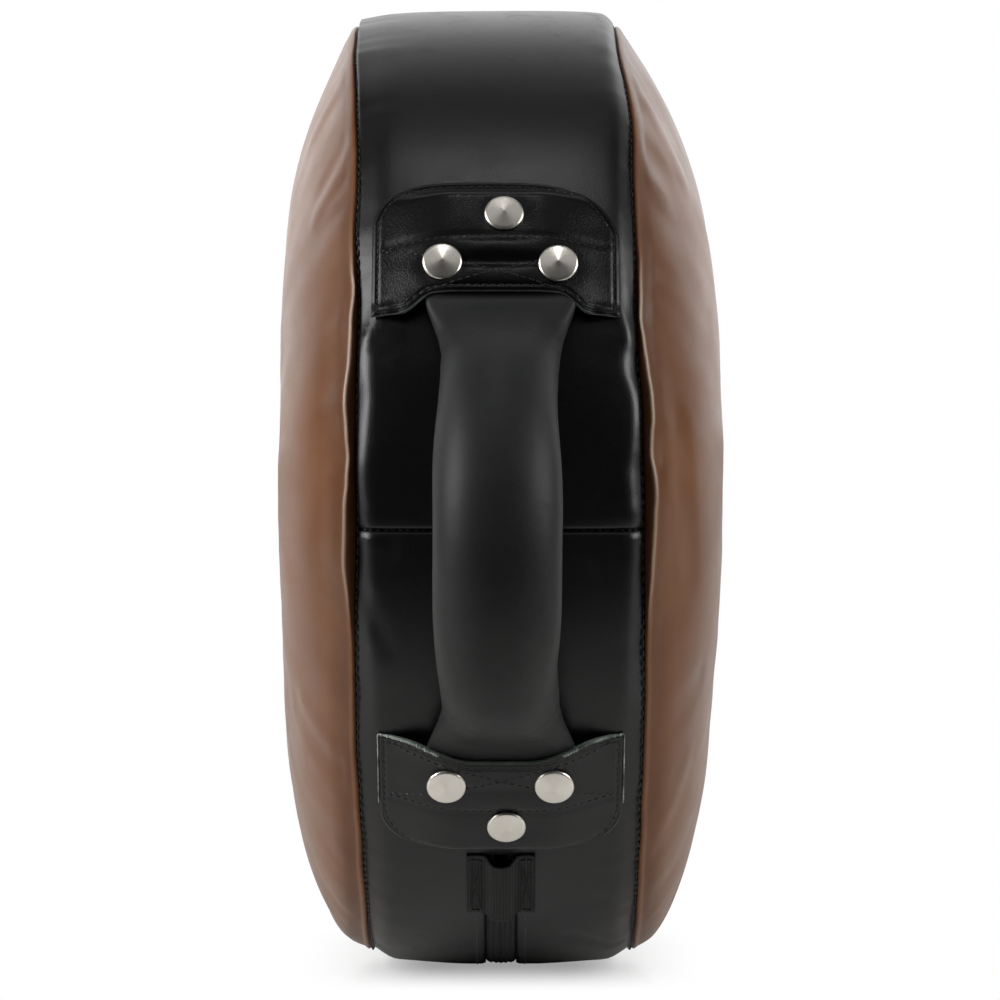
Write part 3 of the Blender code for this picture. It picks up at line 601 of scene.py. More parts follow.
def eased(table, angle):
    """A value read from (angle, value) pairs, eased from one pair to the next."""
    if angle <= table[0][0]:
        return table[0][1]
    for (a0, v0), (a1, v1) in zip(table, table[1:]):
        if angle <= a1:
            return v0 + (v1 - v0) * smoothstep((angle - a0) / (a1 - a0))
    return table[-1][1]


def own_angle(angle):
    """The angle measured from the nearest handle's middle."""
    return angle if abs(angle) <= 90 else math.copysign(180, angle) - angle


def lip_pull(angle):
    """1 where the seam opens beside a handle and 0 well away from it."""
    own = own_angle(angle)
    return 1 - smoothstep((own - 25) / 12) if own > 0 else 1 - smoothstep((-own - 2) / 14)


def seam_inset(angle, side):
    """How far a seam is drawn in towards the middle of the band."""
    middle, top, bottom = SEAM_INSETS[side]
    height = math.sin(math.radians(angle))
    inset = middle + top * smoothstep((height - 0.05) / 0.65) + bottom * smoothstep((-height - 0.3) / 0.5)
    swing, start, run = TOP_SWING[side]
    return inset + swing * smoothstep((height - start) / run) + LIP_DRAW * lip_pull(angle)


def crest_x(angle, side):
    """How far a face's crest stands from the middle of the pad."""
    top, bottom = CREST_DROPS[side]
    height = math.sin(math.radians(angle))
    if height > 0:
        return CREST_X - top * height ** 3
    return CREST_X - bottom * (-height) ** 1.3


def drawn_in(angle, x):
    """Where a point across the band lies once its seam is drawn in."""
    side = 1 if x > 0 else -1
    share = max(abs(x) - DRAWN_FROM, 0.0) / (BAND_HALF - DRAWN_FROM)
    return x - side * seam_inset(angle, side) * share ** DRAWN_POWER


def near_line(spot, start, end, width):
    """1 on the line between two places and fading out to its sides."""
    run = end - start
    share = min(max((spot - start).dot(run) / run.length_squared, 0.0), 1.0)
    return hump((spot - start - run * share).length / width)


def band_radius(x):
    """The plain crowned band, which the patches lie on."""
    return PAD_RADIUS - BAND_CROWN * abs(x / BAND_HALF) ** 4


def rolled(distance, bend):
    """How far a roll has dropped at a distance from where it begins: it steepens, then runs straight."""
    bent = min(max(distance, 0.0), bend)
    return ROLL_SLOPE * (bent * bent / (2 * bend) + max(distance - bend, 0.0))


def skin_radius(angle, x):
    """The band rolls over towards its seams, most tightly beside the handles."""
    edge = min(abs(x) / BAND_HALF, 1.0)
    own = own_angle(angle)
    side = 1 if x > 0 else -1
    near = 1 - smoothstep((abs(own) - 22) / 18)
    start = 0.78 + (eased(SHOULDERS[side], own) - 0.78) * near
    height = math.sin(math.radians(angle))
    square = SQUARE_TOP[side] * smoothstep((height - 0.70) / 0.25)
    wider = ROLL_WIDER * hump((own - 24) / 9)
    bend = ROLL_BEND + wider
    start -= 0.8 * wider / BAND_HALF
    whole = rolled(BAND_HALF * (1 - start), bend)
    depth = min(whole, ROLL_DEPTH * (1 - square))
    share = rolled(BAND_HALF * (edge - start), bend) / whole
    foot = FOOT_LIFT * smoothstep((abs(x) - 0.012) / 0.028) * smoothstep((-height - 0.82) / 0.16)
    return PAD_RADIUS - BAND_FALL * edge ** 4 - depth * share - foot


def band_relief(angle, x):
    """Soft hollows, folds and puckers of the band: it is drawn in at the seams and swells between them."""
    edge = abs(x) / BAND_HALF
    side = 1 if x > 0 else -1
    own = own_angle(angle)
    depth = 0.0007 * ripple(angle * 0.045, x * 14, 3.1)
    near_seam = smoothstep((edge - 0.55) / 0.45)
    depth += 0.0006 * near_seam * ripple(angle * 0.20, side * 2.7, 9.4)
    depth += 0.0003 * near_seam * ripple(angle * 0.75, side * 5.1, 1.7)
    depth += 0.0006 * hump((own + 1.1) / 0.8) * smoothstep((abs(x) - 0.0440) / 0.004)
    depth += 0.0004 * hump((own - 1.6) / 1.6)
    spot = Vector((own * CREASE_TURN, x))
    for (a0, x0), (a1, x1), width, height in BAND_FOLDS:
        start, end = Vector((a0 * CREASE_TURN, x0)), Vector((a1 * CREASE_TURN, x1))
        depth += height * near_line(spot, start, end, width)
    return depth


def join_groove(angle):
    """The seam between the two halves of the band sits in a narrow groove."""
    nearest = min(abs(angle), abs(angle - 180), abs(angle + 180))
    return 0.0011 * hump(nearest / 0.42) + 0.0004 * hump(nearest / 2.2)


def fine_angles(start, end, step, extra=()):
    """Angles about a step apart, with the extra ones among them."""
    count = max(2, round((end - start) / step) + 1)
    return sorted(set(span(start, end, count)) | set(extra))


def seam_wander(angle, side):
    """The seam isn't quite straight: it wanders by half a millimetre."""
    return 0.0006 * ripple(angle * 0.13, side * 4.0, 6.6)


def band_point(angle, x, lift=0.0):
    """A point of the band's skin, with its rolls, folds and joins."""
    radius = skin_radius(angle, x) + band_relief(angle, x) - join_groove(angle) + lift
    edge = smoothstep((abs(x) / BAND_HALF - 0.8) / 0.2)
    shift = seam_wander(angle, 1 if x > 0 else -1) * edge
    return at(angle, min(radius, PAD_RADIUS + 0.0008), drawn_in(angle, x) + shift)


def seam_edge(angle, side, radius):
    """A point on the band's own edge at a seam."""
    return at(angle, radius, drawn_in(angle, side * BAND_HALF) + seam_wander(angle, side))


def make_band(name, start, end, slot=()):
    """One length of the band, turned in at both seams; the slot is a gap in its middle for the zip."""
    beside_join = (0.20, 0.35, 0.50, 0.75)
    near_join = [start + turn for turn in beside_join] + [end - turn for turn in beside_join]
    angles = fine_angles(start + 0.06, end - 0.06, 1.0, list(slot) + near_join)
    half = [SLOT_HALF, 0.0078, 0.0095] + span(0.012, 0.045, 14)
    half += [0.0475, 0.0496, 0.0514, 0.0529, 0.0541, 0.0549]
    xs = [-x for x in reversed(half)] + half
    middle = len(half)
    rows = []
    for a in angles:
        turned_in = BAND_TURNED_IN - 0.0010 * lip_pull(a)
        row = [seam_edge(a, -1, SEAM_FLOOR - 0.0006), seam_edge(a, -1, turned_in)]
        for x in xs:
            lip = -0.0005 * hump((abs(x) - SLOT_HALF) / 0.0016) if slot and slot[0] < a < slot[1] else 0.0
            row.append(band_point(a, x, lip))
        row += [seam_edge(a, 1, turned_in), seam_edge(a, 1, SEAM_FLOOR - 0.0006)]
        rows.append(row)

    def keep(i, j):
        return not (slot and j == middle + 1 and slot[0] <= angles[i] < slot[1])

    mesh = skin(name, rows, ring_core, keep=keep)
    made = piece(name + "_leather", mesh, BLACK, "black_leather", name)
    thicken(made, LEATHER)


# Striking faces

def face_fullness(angle):
    """The filling settles, so the face stands fuller near the bottom than near the top."""
    height = math.sin(math.radians(angle))
    return FULLNESS + SAG * height + 0.12 * smoothstep((height - 0.78) / 0.2)


def face_profile(angle, t, side):
    """(x, radius) at t: 0 at the rim seam's lip, 1 at the crest, 2 at the mouth of the hole."""
    crest = crest_x(angle, side)
    lip = FACE_LIP_X - seam_inset(angle, side)
    if t <= 1:
        u = 1 - t
        radius = CREST_RADIUS + (FACE_LIP_RADIUS - CREST_RADIUS) * u
        return lip + (crest - lip) * (1 - u * u) ** face_fullness(angle), radius
    u = t - 1
    radius = CREST_RADIUS - (CREST_RADIUS - HOLE_RADIUS) * u
    return HOLE_MOUTH_X + (crest - HOLE_MOUTH_X) * (1 - u ** 2.2) ** 0.75, radius


def crease_height(angle, t, side):
    """The soft ridges and hollows that run slantwise over the faces."""
    total = 0.0
    spot = Vector((angle * CREASE_TURN, t * CREASE_RUN))
    for face, (a0, t0), (a1, t1), width, height in CREASES:
        if face == side:
            start = Vector((a0 * CREASE_TURN, t0 * CREASE_RUN))
            end = Vector((a1 * CREASE_TURN, t1 * CREASE_RUN))
            total += height * near_line(spot, start, end, width)
    return total


def face_relief(angle, t, side):
    """Broad soft hollows, gathers that fade away from the seam, and the creases."""
    a = math.radians(angle)
    ca, sa = math.cos(a) * 3, math.sin(a) * 3
    depth = 0.0007 * ripple(ca, sa + side * 7, t * 1.6)
    depth += 0.0003 * ripple(ca * 3, sa * 3 + side * 5, t * 3)
    gather = ripple(angle * 0.19 + side * 11, 2.0, t * 2.5)
    gather += 0.5 * ripple(angle * 0.52 + side * 3, 5.0, t * 2)
    depth += 0.0006 * gather * (1 - smoothstep(t / 0.34))
    depth += 0.0008 * smoothstep((t - 1.55) / 0.45) * ripple(angle * 0.12 + side, 1.0, t * 2)
    return depth + crease_height(angle, t, side)


def lip_shape(angle, side):
    """How far the rolled lip stands from the seam, and its radius: it opens beside the handles."""
    pull = lip_pull(angle)
    closed = 0.0010 + 0.0002 * ripple(angle * 0.4, side * 2.0)
    table = LIPS[side if abs(angle) <= 90 else -side]
    width = closed + (eased(table, own_angle(angle)) - closed) * pull
    return max(width, 0.0008), FACE_RIDGE_RADIUS + 0.0014 * pull


def face_row(angle, side):
    """One section of a face, from the turned-in seam over the lip and the crest to the hole."""
    width, ridge = lip_shape(angle, side)
    seam = FACE_SEAM_X - seam_inset(angle, side)
    foot = FACE_FOOT_RADIUS - 0.0006 * lip_pull(angle)
    shift = seam_wander(angle, side)
    row = [at(angle, r, side * seam + shift) for r in (SEAM_FLOOR - 0.0012, foot - 0.0006)]
    for t in (0.0, 0.2, 0.4, 0.6, 0.8, 0.92, 1.0):
        height = foot + (ridge - foot) * (1.25 * t - 0.25 * t ** 5)
        row.append(at(angle, height, side * (seam + 0.0001 + width * t) + shift))
    lip = seam + width
    for run, fall in ((0.0003, 0.00003), (0.0006, 0.00018), (0.0010, 0.00048), (0.0014, 0.00086)):
        row.append(at(angle, ridge - fall, side * (lip + run) + shift))
    base = FACE_LIP_X - seam_inset(angle, side)
    crest = crest_x(angle, side)
    share = max(lip + 0.0019 - base, 0.0) / (crest - base)
    start = 1 - math.sqrt(1 - share ** (1 / face_fullness(angle)))
    lift = ridge - 0.0014 - face_profile(angle, start, side)[1]
    places = [start + (1 - start) * g for g in span(0, 0.13, 14) + span(0.15, 1.0, 34)] + span(1.03, 2.0, 26)
    spots = [face_profile(angle, t, side) for t in places]
    for k, t in enumerate(places):
        x, radius = spots[k]
        x0, r0 = spots[max(k - 1, 0)]
        x1, r1 = spots[min(k + 1, len(spots) - 1)]
        way = Vector((r0 - r1, x1 - x0)).normalized()
        near = 1 - smoothstep((x - lip) / 0.011)
        push = face_relief(angle, t, side) * smoothstep((t - start) / 0.05)
        out = min(x + way.x * push, CREST_X)
        row.append(at(angle, radius + lift * near + way.y * push, side * out + shift * near))
    row.append(at(angle, HOLE_RADIUS - 0.0002, side * (HOLE_EDGE_X + 0.001)))
    row.append(at(angle, HOLE_RADIUS, side * HOLE_EDGE_X))
    return row


def settle(made, hold, across):
    """Let a cover that is cut a little too large settle as cloth, and keep that shape as plain mesh."""
    group = made.vertex_groups.new(name="held")
    for k, weight in enumerate(hold):
        group.add([k], weight, "REPLACE")
    cloth = made.modifiers.new("cloth", "CLOTH")
    leather = cloth.settings
    leather.quality = 5
    leather.mass = 0.3
    leather.tension_stiffness = 25
    leather.compression_stiffness = 25
    leather.shear_stiffness = 12
    leather.bending_stiffness = 20
    leather.vertex_group_mass = "held"
    leather.shrink_min = -CLOTH_GROWTH
    leather.effector_weights.gravity = 0
    cloth.point_cache.frame_end = CLOTH_STEPS
    for step in range(CLOTH_STEPS):
        bpy.context.scene.frame_set(step + 1)
    settled = made.evaluated_get(bpy.context.evaluated_depsgraph_get()).to_mesh()
    before, after = numpy.empty(len(hold) * 3), numpy.empty(len(hold) * 3)
    made.data.vertices.foreach_get("co", before)
    settled.vertices.foreach_get("co", after)
    made.modifiers.remove(cloth)
    moves = (after - before).reshape(-1, across, 3)
    free = 1 - numpy.array(hold).reshape(-1, across, 1) ** 6
    for _ in range(CLOTH_SMOOTHING):
        beside = numpy.pad(moves, ((0, 0), (1, 1), (0, 0)), mode="edge")
        round_about = numpy.roll(moves, 1, axis=0) + numpy.roll(moves, -1, axis=0)
        moves = (moves + beside[:, :-2] + beside[:, 2:] + round_about) / 5 * free
    lengths = numpy.maximum(numpy.linalg.norm(moves, axis=2, keepdims=True), 1e-9)
    moves *= numpy.minimum(1.0, CLOTH_REACH / lengths)
    made.data.vertices.foreach_set("co", before + moves.ravel())
    made.data.update()
    bpy.context.scene.frame_set(1)


def face_hold(k):
    """How firmly each place across a face is held: sewn at the lip, loosest past it, taut over the crest."""
    if k < FACE_SEWN_ROWS:
        return 1.0
    run = (k - FACE_SEWN_ROWS) / FACE_TAUT_ROWS
    if run <= 1:
        return 0.42 + 0.40 * smoothstep((run - 0.35) / 0.65)
    return min(1.0, 0.82 + 0.18 * (run - 1) * 2)


def face_shade_rub_and_highlight(k, pull):
    """Colour of each place across a face: painted shade below 0, in the seam strip and just past the lip, and
    pale above 0 on an open lip, partly worn by use and partly a painted highlight.
    """
    # Seam strip: painted shade. Ridge and just past it: worn pale by use, plus a painted highlight.
    lip = (-1.0, -1.0, -0.9, -0.66, -0.5, -0.38, 0.0, 0.7, 1.0, 1.0, 1.0, 0.8, 0.3)
    if k < len(lip):
        return lip[k] * (pull if lip[k] > 0 else 0.4 + 0.6 * pull)
    return -0.42 * (1 - smoothstep((k - len(lip)) / 16))


def make_face(name, side):
    """A whole face cover, from the rim seam over the crest to the mouth of the hole."""
    angles = span(-180, 180, 361)[:-1]
    rows = [face_row(angle, side) for angle in angles]
    across = len(rows[0])
    mesh = skin(name, rows, ring_core, closed=True)
    made = piece(name + "_leather", mesh, BROWN, "brown_leather", name)
    pulls = [lip_pull(angle) for angle in angles]
    # The wear attribute carries painted shade by the seams and, on the open lips, a painted highlight along
    # with wear.
    wear = mesh.attributes.new("wear", "FLOAT", "POINT")
    wear.data.foreach_set("value", [face_shade_rub_and_highlight(k, pull) for pull in pulls for k in range(across)])
    settle(made, [face_hold(k) for _ in rows for k in range(across)], across)
    thicken(made, LEATHER)


def make_lining():
    """The leather sleeve of the centre hole, turned over at both mouths."""
    rows = []
    for a in span(-180, 180, 181)[:-1]:
        row = []
        for x in span(-HOLE_EDGE_X + 0.0003, HOLE_EDGE_X - 0.0003, 40):
            end = hump((HOLE_EDGE_X - abs(x)) / 0.004)
            sag = 0.0006 * ripple(a * 0.05, x * 30) + 0.0005 * ripple(a * 0.2, x * 70)
            row.append(at(a, HOLE_RADIUS + 0.0006 * end + sag * (1 - end), x))
        rows.append(row)
    mesh = skin("hole_lining", rows, lambda p: ring_core(p) * 0.98 + CENTRE * 0.02, closed=True)
    made = piece("hole_lining_leather", mesh, LINING_BLACK, "lining_leather", "hole_lining")
    thicken(made, LEATHER)


def make_rim_stitching():
    """Thread that shows beside the rim seams, along the band's joins and in the mouth of the hole."""
    rim = []
    for side in (-1, 1):
        run = []
        for a in span(-180, 180, 721):
            spot = seam_edge(a, side, SEAM_THREAD_RADIUS - 0.0006 * lip_pull(a))
            run.append((spot, (outward(a) * 0.5 + Vector((side, 0, 0))).normalized()))
        rim.append(run)
    stitches("rim_seam_stitches", rim, 0.0042)
    joins = []
    for middle in (0, 180):
        joins.append([(band_point(middle, x, -0.0001), outward(middle)) for x in span(-0.0535, 0.0535, 60)])
    stitches("band_join_stitches", joins, 0.0028, 0.00024)
    mouths = []
    for side in (-1, 1):
        x = side * (HOLE_EDGE_X - 0.0035)
        mouths.append([(at(a, HOLE_RADIUS - 0.0001, x), -outward(a)) for a in span(-180, 180, 181)])
    stitches("hole_seam_stitches", mouths, slot="lining_leather")


# Handles

def arch_radius(angle):
    """The radius of the handle's middle line."""
    if abs(angle) >= ARCH_END:
        return ROOT_RADIUS
    return ROOT_RADIUS + 0.5 * ARCH_HEIGHT * (1 + math.cos(math.pi * angle / ARCH_END))


def arch_point(side, angle):
    """A point of the handle's middle line."""
    return at(turn_of(side, angle), arch_radius(angle))


def arch_normal(side, angle):
    """The direction square to the handle's middle line, away from the rim."""
    way = arch_point(side, angle + 0.05) - arch_point(side, angle - 0.05)
    normal = way.cross(Vector((1, 0, 0))).normalized()
    return normal if normal.dot(outward(turn_of(side, angle))) > 0 else -normal


def grip_size(angle):
    """Half width, half depth and squareness of the sleeve: round in the hand and flat at its roots."""
    a = abs(angle)
    depth = TONGUE_DEPTH + (GRIP_DEPTH - TONGUE_DEPTH) * smoothstep((25.5 - a) / 13.5)
    width = GRIP_WIDTH - (GRIP_WIDTH - GRIP_WAIST) * smoothstep((a - 5.0) / 9.0)
    width += (ROOT_WIDTH - GRIP_WAIST) * smoothstep((a - 17.5) / 9.0)
    width -= 0.002 * smoothstep((a - 26.5) / 4.0) + 0.005 * smoothstep((a - 34.0) / 3.5)
    return width, depth, 2.2 + 1.8 * smoothstep((a - 20.0) / 7.0)


def grip_point(side, angle, turn):
    """A point of the grip's skin; turn runs round its section from +X towards the outside."""
    width, depth, power = grip_size(angle)
    c, s = math.cos(turn), math.sin(turn)
    x = width * math.copysign(abs(c) ** (2 / power), c)
    out = depth * math.copysign(abs(s) ** (2 / power), s)
    loose = smoothstep((25 - abs(angle)) / 8)
    swell = 0.0007 * ripple(angle * 0.13, c * 1.2 + side, s * 1.2)
    wrinkle = 0.0004 * ripple(angle * 0.9, c * 1.5 + side, s * 1.5) * smoothstep((abs(angle) - 12) / 8)
    seam = 0.0007 * hump((turn - 1.5 * math.pi) / 0.10)
    away = Vector((x / max(width, 1e-6), out / max(depth, 1e-6))).normalized()
    push = max(swell + wrinkle, -0.0002) * loose - seam * loose
    centre = arch_point(side, angle)
    x += GRIP_LEAN * (1 - smoothstep((abs(angle) - 10) / 10))
    return centre + Vector((x + away.x * push, 0, 0)) + arch_normal(side, angle) * (out + away.y * push)


def make_grip(side, word):
    """The padded sleeve of a handle, sewn together along its inner side."""
    sides = 72
    rows = []
    for angle in span(-TONGUE_END, TONGUE_END, 151):
        rows.append([grip_point(side, angle, 2 * math.pi * k / sides) for k in range(sides)])

    def middle(point):
        turn = math.degrees(math.atan2(point.z - CENTRE.z, -point.y))
        angle = turn if side == 0 else math.copysign(180, turn) - turn
        return arch_point(side, angle)

    mesh = skin(word + "_grip", rows, middle, ring=True)
    made = piece(word + "_grip_skin", mesh, GRIP_BLACK, "black_leather", word + "_grip_leather")
    thicken(made, GRIP_LEATHER)
    runs = []
    for gap in (-0.07, 0.07):
        turn = 1.5 * math.pi + gap
        runs.append([(grip_point(side, a, turn), -arch_normal(side, a)) for a in span(-19, 19, 90)])
    stitches(word + "_grip_stitches", runs)


# Handle patches

def patch_mouth(x, sign):
    """Angle of the patch's open edge, which bows over the grip."""
    start, run = MOUTH_BOW[sign]
    return PATCH_MOUTH + (PATCH_CORNER - PATCH_MOUTH) * smoothstep((abs(x) - start) / run)


def patch_tip(x, sign):
    """Angle of the patch's rounded end."""
    across = min(abs(x) / PATCH_HALF, 1.0)
    rise = (1 - across ** 3) ** 0.7 if sign > 0 and x > 0 else (1 - across ** 4) ** 0.4
    return PATCH_SHOULDER + (PATCH_ENDS[sign] - PATCH_SHOULDER) * rise


def patch_radius(angle, x, sign):
    """Height of the patch: it swells over the tongue and its stitching draws it down in rolls."""
    low = band_radius(x) + 0.0004 + PATCH_LEATHER
    root = min(angle - 0.5, ARCH_END)
    high = arch_radius(root) + grip_size(root)[1] + PATCH_LEATHER + PATCH_GAP
    over = 1 - smoothstep((abs(x) - 0.0155) / 0.031)
    past = 1 - smoothstep((angle - TONGUE_END + 0.6) / 2.4)
    radius = low + (high - low) * over * past
    plump = 1.0 if sign > 0 else 0.35
    inner = hump(x / 0.036)
    radius += plump * 0.0012 * inner * hump((angle - 27.2) / 1.7)
    radius += plump * 0.0013 * hump(x / 0.028) * hump((angle - 30.5) / 1.5)
    radius -= plump * 0.0010 * inner * hump((angle - 28.9) / 0.9)
    radius -= 0.0005 * hump((angle - 31.9) / 0.5) * smoothstep((0.045 - abs(x)) / 0.003)
    pucker = hump(x / 0.022) * ripple(x * 190 + sign, angle * 0.5, 4.4) * hump((angle - 28.8) / 2.0)
    radius += plump * 0.0005 * pucker
    for spot, across in RIVETS[sign]:
        distance = math.hypot((angle - spot) * RIM_ARC, x + PATCH_LEANS[sign] - across)
        radius -= 0.0010 * hump(distance / 0.0125)
    radius += 0.0003 * ripple(angle * 0.35, x * 60, 2.2)
    return radius


def patch_edge(angle, x, sign):
    """Distance from a place on the patch to its nearest edge."""
    nearest = PATCH_HALF - abs(x)
    for line, way in ((patch_mouth, 1), (patch_tip, -1)):
        slope = (line(x + 0.0003, sign) - line(x - 0.0003, sign)) * RIM_ARC / 0.0006
        gap = way * (angle - line(x, sign)) * RIM_ARC
        nearest = min(nearest, gap / math.sqrt(1 + slope * slope))
    return max(nearest, 0.0)


def patch_point(side, sign, angle, x, lift=0.0):
    """A point of the patch: it falls away at its edge and dips where its border is sewn."""
    edge = patch_edge(angle, x, sign)
    lift -= 0.0005 * hump(edge / 0.0014) + 0.0004 * hump((edge - 0.0023) / 0.0011)
    radius = patch_radius(angle, x, sign) + lift
    return at(turn_of(side, sign * angle), radius, x + PATCH_LEANS[sign])


def patch_border(sign, inset_x, inset_angle):
    """Places (angle, x) on a line inside the patch's edge: up one side, over the tip and back."""
    half = PATCH_HALF - inset_x
    start = PATCH_CORNER + inset_angle
    low = PATCH_SHOULDER - 0.4
    line = [(angle, -half) for angle in span(start, low, 18)]
    for k in range(1, 60):
        x = -half * math.cos(math.pi * k / 60)
        line.append((max(patch_tip(x * PATCH_HALF / half, sign) - inset_angle, low), x))
    line += [(angle, half) for angle in span(low, start, 18)]
    mouth = [(patch_mouth(x, sign) + inset_angle, x) for x in span(half, -half, 50)]
    return line, mouth[1:]


def make_patch(side, sign, word):
    """A riveted patch over a root of a handle, with its rows of stitching; sign is 1 for the upper one."""
    rows = []
    for k in range(121):
        x = -PATCH_HALF * math.cos(math.pi * k / 120)
        start, end = patch_mouth(x, sign), patch_tip(x, sign)
        row = []
        for t in span(0, 1, 71):
            t -= 0.12 * math.sin(2 * math.pi * t)
            angle = start + (end - start) * t
            curl = 0.0
            if sign > 0:
                curl = 0.0012 * hump((angle - PATCH_CORNER) / 1.8) * smoothstep((abs(x) - 0.036) / 0.006)
            row.append(patch_point(side, sign, angle, x, curl))
        rows.append(row)
    mesh = skin(word + "_patch", rows, pad_axis)
    finish = GLOSS_BLACK if sign > 0 else PATCH_BLACK
    made = piece(word + "_patch_leather", mesh, finish, "black_leather", word + "_patch")
    thicken(made, PATCH_LEATHER - PATCH_TRIM[sign], RAW)

    def run(places):
        return [(patch_point(side, sign, a, x), outward(turn_of(side, sign * a))) for a, x in places]

    border, mouth = patch_border(sign, 0.0022, 0.6)
    sag = 0.6 if sign > 0 else 0.45
    cross = [(31.4 + sag * hump(x / 0.05), x) for x in span(-0.0440, 0.0440, 40)]
    rising = [(24.3 + 6.9 * t, -0.0425 + 0.085 * t) for t in span(0, 1, 40)]
    falling = [(a, -x) for a, x in rising]
    seams = [run(places) for places in (border, mouth, cross, rising, falling)]
    stitches(word + "_patch_stitches", seams, 0.0030)


def make_raw_edge(side, word):
    """The frayed backing that shows at the lower patch's corners and down its two sides."""
    runs = []
    for way in (-1, 1):
        places = [(patch_mouth(x, -1), way * x) for x in span(0.0235, PATCH_HALF, 40)]
        places += [(angle, way * PATCH_HALF) for angle in span(PATCH_CORNER, PATCH_SHOULDER - 0.6, 40)[1:]]
        runs.append([(patch_point(side, -1, a, x, 0.0002), outward(turn_of(side, -a))) for a, x in places])
    points, faces = [], []
    for run in runs:
        lengths = run_lengths(run)
        step, start = 0.0012, 0.0
        while start + step < lengths[-1]:
            thick = 0.00058 if start < 0.024 else 0.00026
            thick *= 1 + 0.5 * ripple(start * 900, 2.0)
            strand(points, faces, run, lengths, start, start + step * 1.7, thick)
            start += step
    piece(word + "_patch_fray", new_mesh("fray", points, faces), FRAY, "black_leather")


# Rivets

def cap_mesh():
    """A spun cap: a low cone with a soft tip, rolled over at its edge, and the shank below."""
    shank, depth = 0.0020, 0.0146
    outline = [(0.0, 0.00300), (0.0003, 0.00299)]
    for r in span(0.0007, 0.0067, 11):
        outline.append((r, 0.00304 - 0.235 * r))
    outline += [(0.0070, 0.00136), (0.0073, 0.00114), (0.00752, 0.00080), (0.00758, 0.00045),
                (0.00748, 0.00016), (0.0072, 0.0), (shank + 0.0001, 0.0), (shank, -depth), (0.0, -depth)]
    steps = 64
    points = [Vector((0, 0, outline[0][1]))]
    faces = []
    for r, z in outline[1:-1]:
        points += [Vector((r * math.cos(2 * math.pi * k / steps), r * math.sin(2 * math.pi * k / steps), z))
                   for k in range(steps)]
    points.append(Vector((0, 0, outline[-1][1])))
    for k in range(steps):
        faces.append((0, 1 + k, 1 + (k + 1) % steps))
    for i in range(len(outline) - 3):
        low, high = 1 + i * steps, 1 + (i + 1) * steps
        for k in range(steps):
            m = (k + 1) % steps
            faces.append((low + k, high + k, high + m, low + m))
    last = 1 + (len(outline) - 3) * steps
    for k in range(steps):
        faces.append((last + k, len(points) - 1, last + (k + 1) % steps))
    return new_mesh("cap", points, faces)


def make_rivets(side, sign, word):
    """The three caps of a patch, each set down a little askew."""
    for spot, (angle, x) in zip(("inner", "outer", "end"), RIVETS[sign]):
        turn = turn_of(side, sign * angle)
        lean = Vector((0.05 * ripple(turn, x * 90), 0.05 * ripple(x * 70, turn), 0))
        way = Vector((0, 0, 1)).rotation_difference((outward(turn) + lean).normalized())
        mesh = cap_mesh()
        mesh.transform(Matrix.Translation(at(turn, PATCH_TOP - 0.0005, x)) @ way.to_matrix().to_4x4())
        node = word + "_rivet_" + spot
        piece(node + "_cap", mesh, NICKEL, "nickel", node)


# Zip

def make_tape(name, side):
    """Ribbed tape, full in the slot and stepped down under the band's edge."""
    angles = fine_angles(-(180 - SLOT_END - 0.2), -(SLOT_END + 0.2), 0.75)
    rows = []
    for a in angles:
        split = 0.0002 + 0.0026 * smoothstep((a + 43.9) / 1.2)
        row = []
        for t in span(0, 1, 29):
            x = split + (TAPE_HALF - split) * t
            step = smoothstep((x - 0.0052) / 0.0016)
            rib = 0.00022 * math.cos(2 * math.pi * x / TAPE_RIB) * (1 - step)
            top = TAPE_TOP + 0.0004 * hump(x / 0.005) + rib
            row.append(at(a, top + (TAPE_UNDER - top) * step, side * x))
        rows.append(row)
    mesh = skin(name, rows, pad_axis)
    made = piece(name + "_weave", mesh, TAPE, "zip_tape", name)
    thicken(made, TAPE_THICKNESS)


def elastic_height(x):
    """Section of the elastic cover: flat sewn edges and a low tunnel over the slider."""
    tunnel = ELASTIC_TUNNEL * (1 - smoothstep((abs(x) - 0.0030) / 0.0040))
    return ELASTIC_BASE + tunnel + 0.0002 * hump(x / 0.003)


def elastic_mouth(x):
    """Angle of the elastic cover's open edge, which dips over the slot."""
    return ELASTIC_START + 0.9 * max(0.0, 1 - (x / 0.0068) ** 2)


def make_elastic():
    """The ribbed elastic over the parked slider, and the two boxes of stitching that hold it."""
    rows = []
    for t in span(0, 1, 40):
        row = []
        for x in span(-ELASTIC_HALF, ELASTIC_HALF, 109):
            start = elastic_mouth(x)
            angle = -(start + (ELASTIC_END - start) * t)
            rib = 0.00010 * math.cos(2 * math.pi * x / ELASTIC_RIB)
            bite = 0.0003 * hump((abs(x) - 0.0100) / 0.0030) if abs(x) > 0.0075 else 0.0
            row.append(at(angle, elastic_height(x) + rib - bite, x))
        rows.append(row)
    mesh = skin("elastic", rows, pad_axis)
    made = piece("zip_elastic_cover_weave", mesh, ELASTIC, "elastic", "zip_elastic_cover")
    thicken(made, ELASTIC_THICKNESS)
    low, high = 0.0079, 0.0124
    start, end = -41.7, -51.8
    box = [(start, low), (start, high), (end, high), (end, low), (start, low)]
    corners = box + [(end, high), (start, high), (end, low)]
    runs = []
    for side in (-1, 1):
        run = []
        for (a0, x0), (a1, x1) in zip(corners, corners[1:]):
            for t in span(0, 1, 16)[:-1]:
                a, x = a0 + (a1 - a0) * t, x0 + (x1 - x0) * t
                run.append((at(a, elastic_height(x) + 0.0001, side * x), outward(a)))
        runs.append(run)
    stitches("zip_elastic_box_stitches", runs, 0.0020, 0.00028, 0.8, slot="elastic")


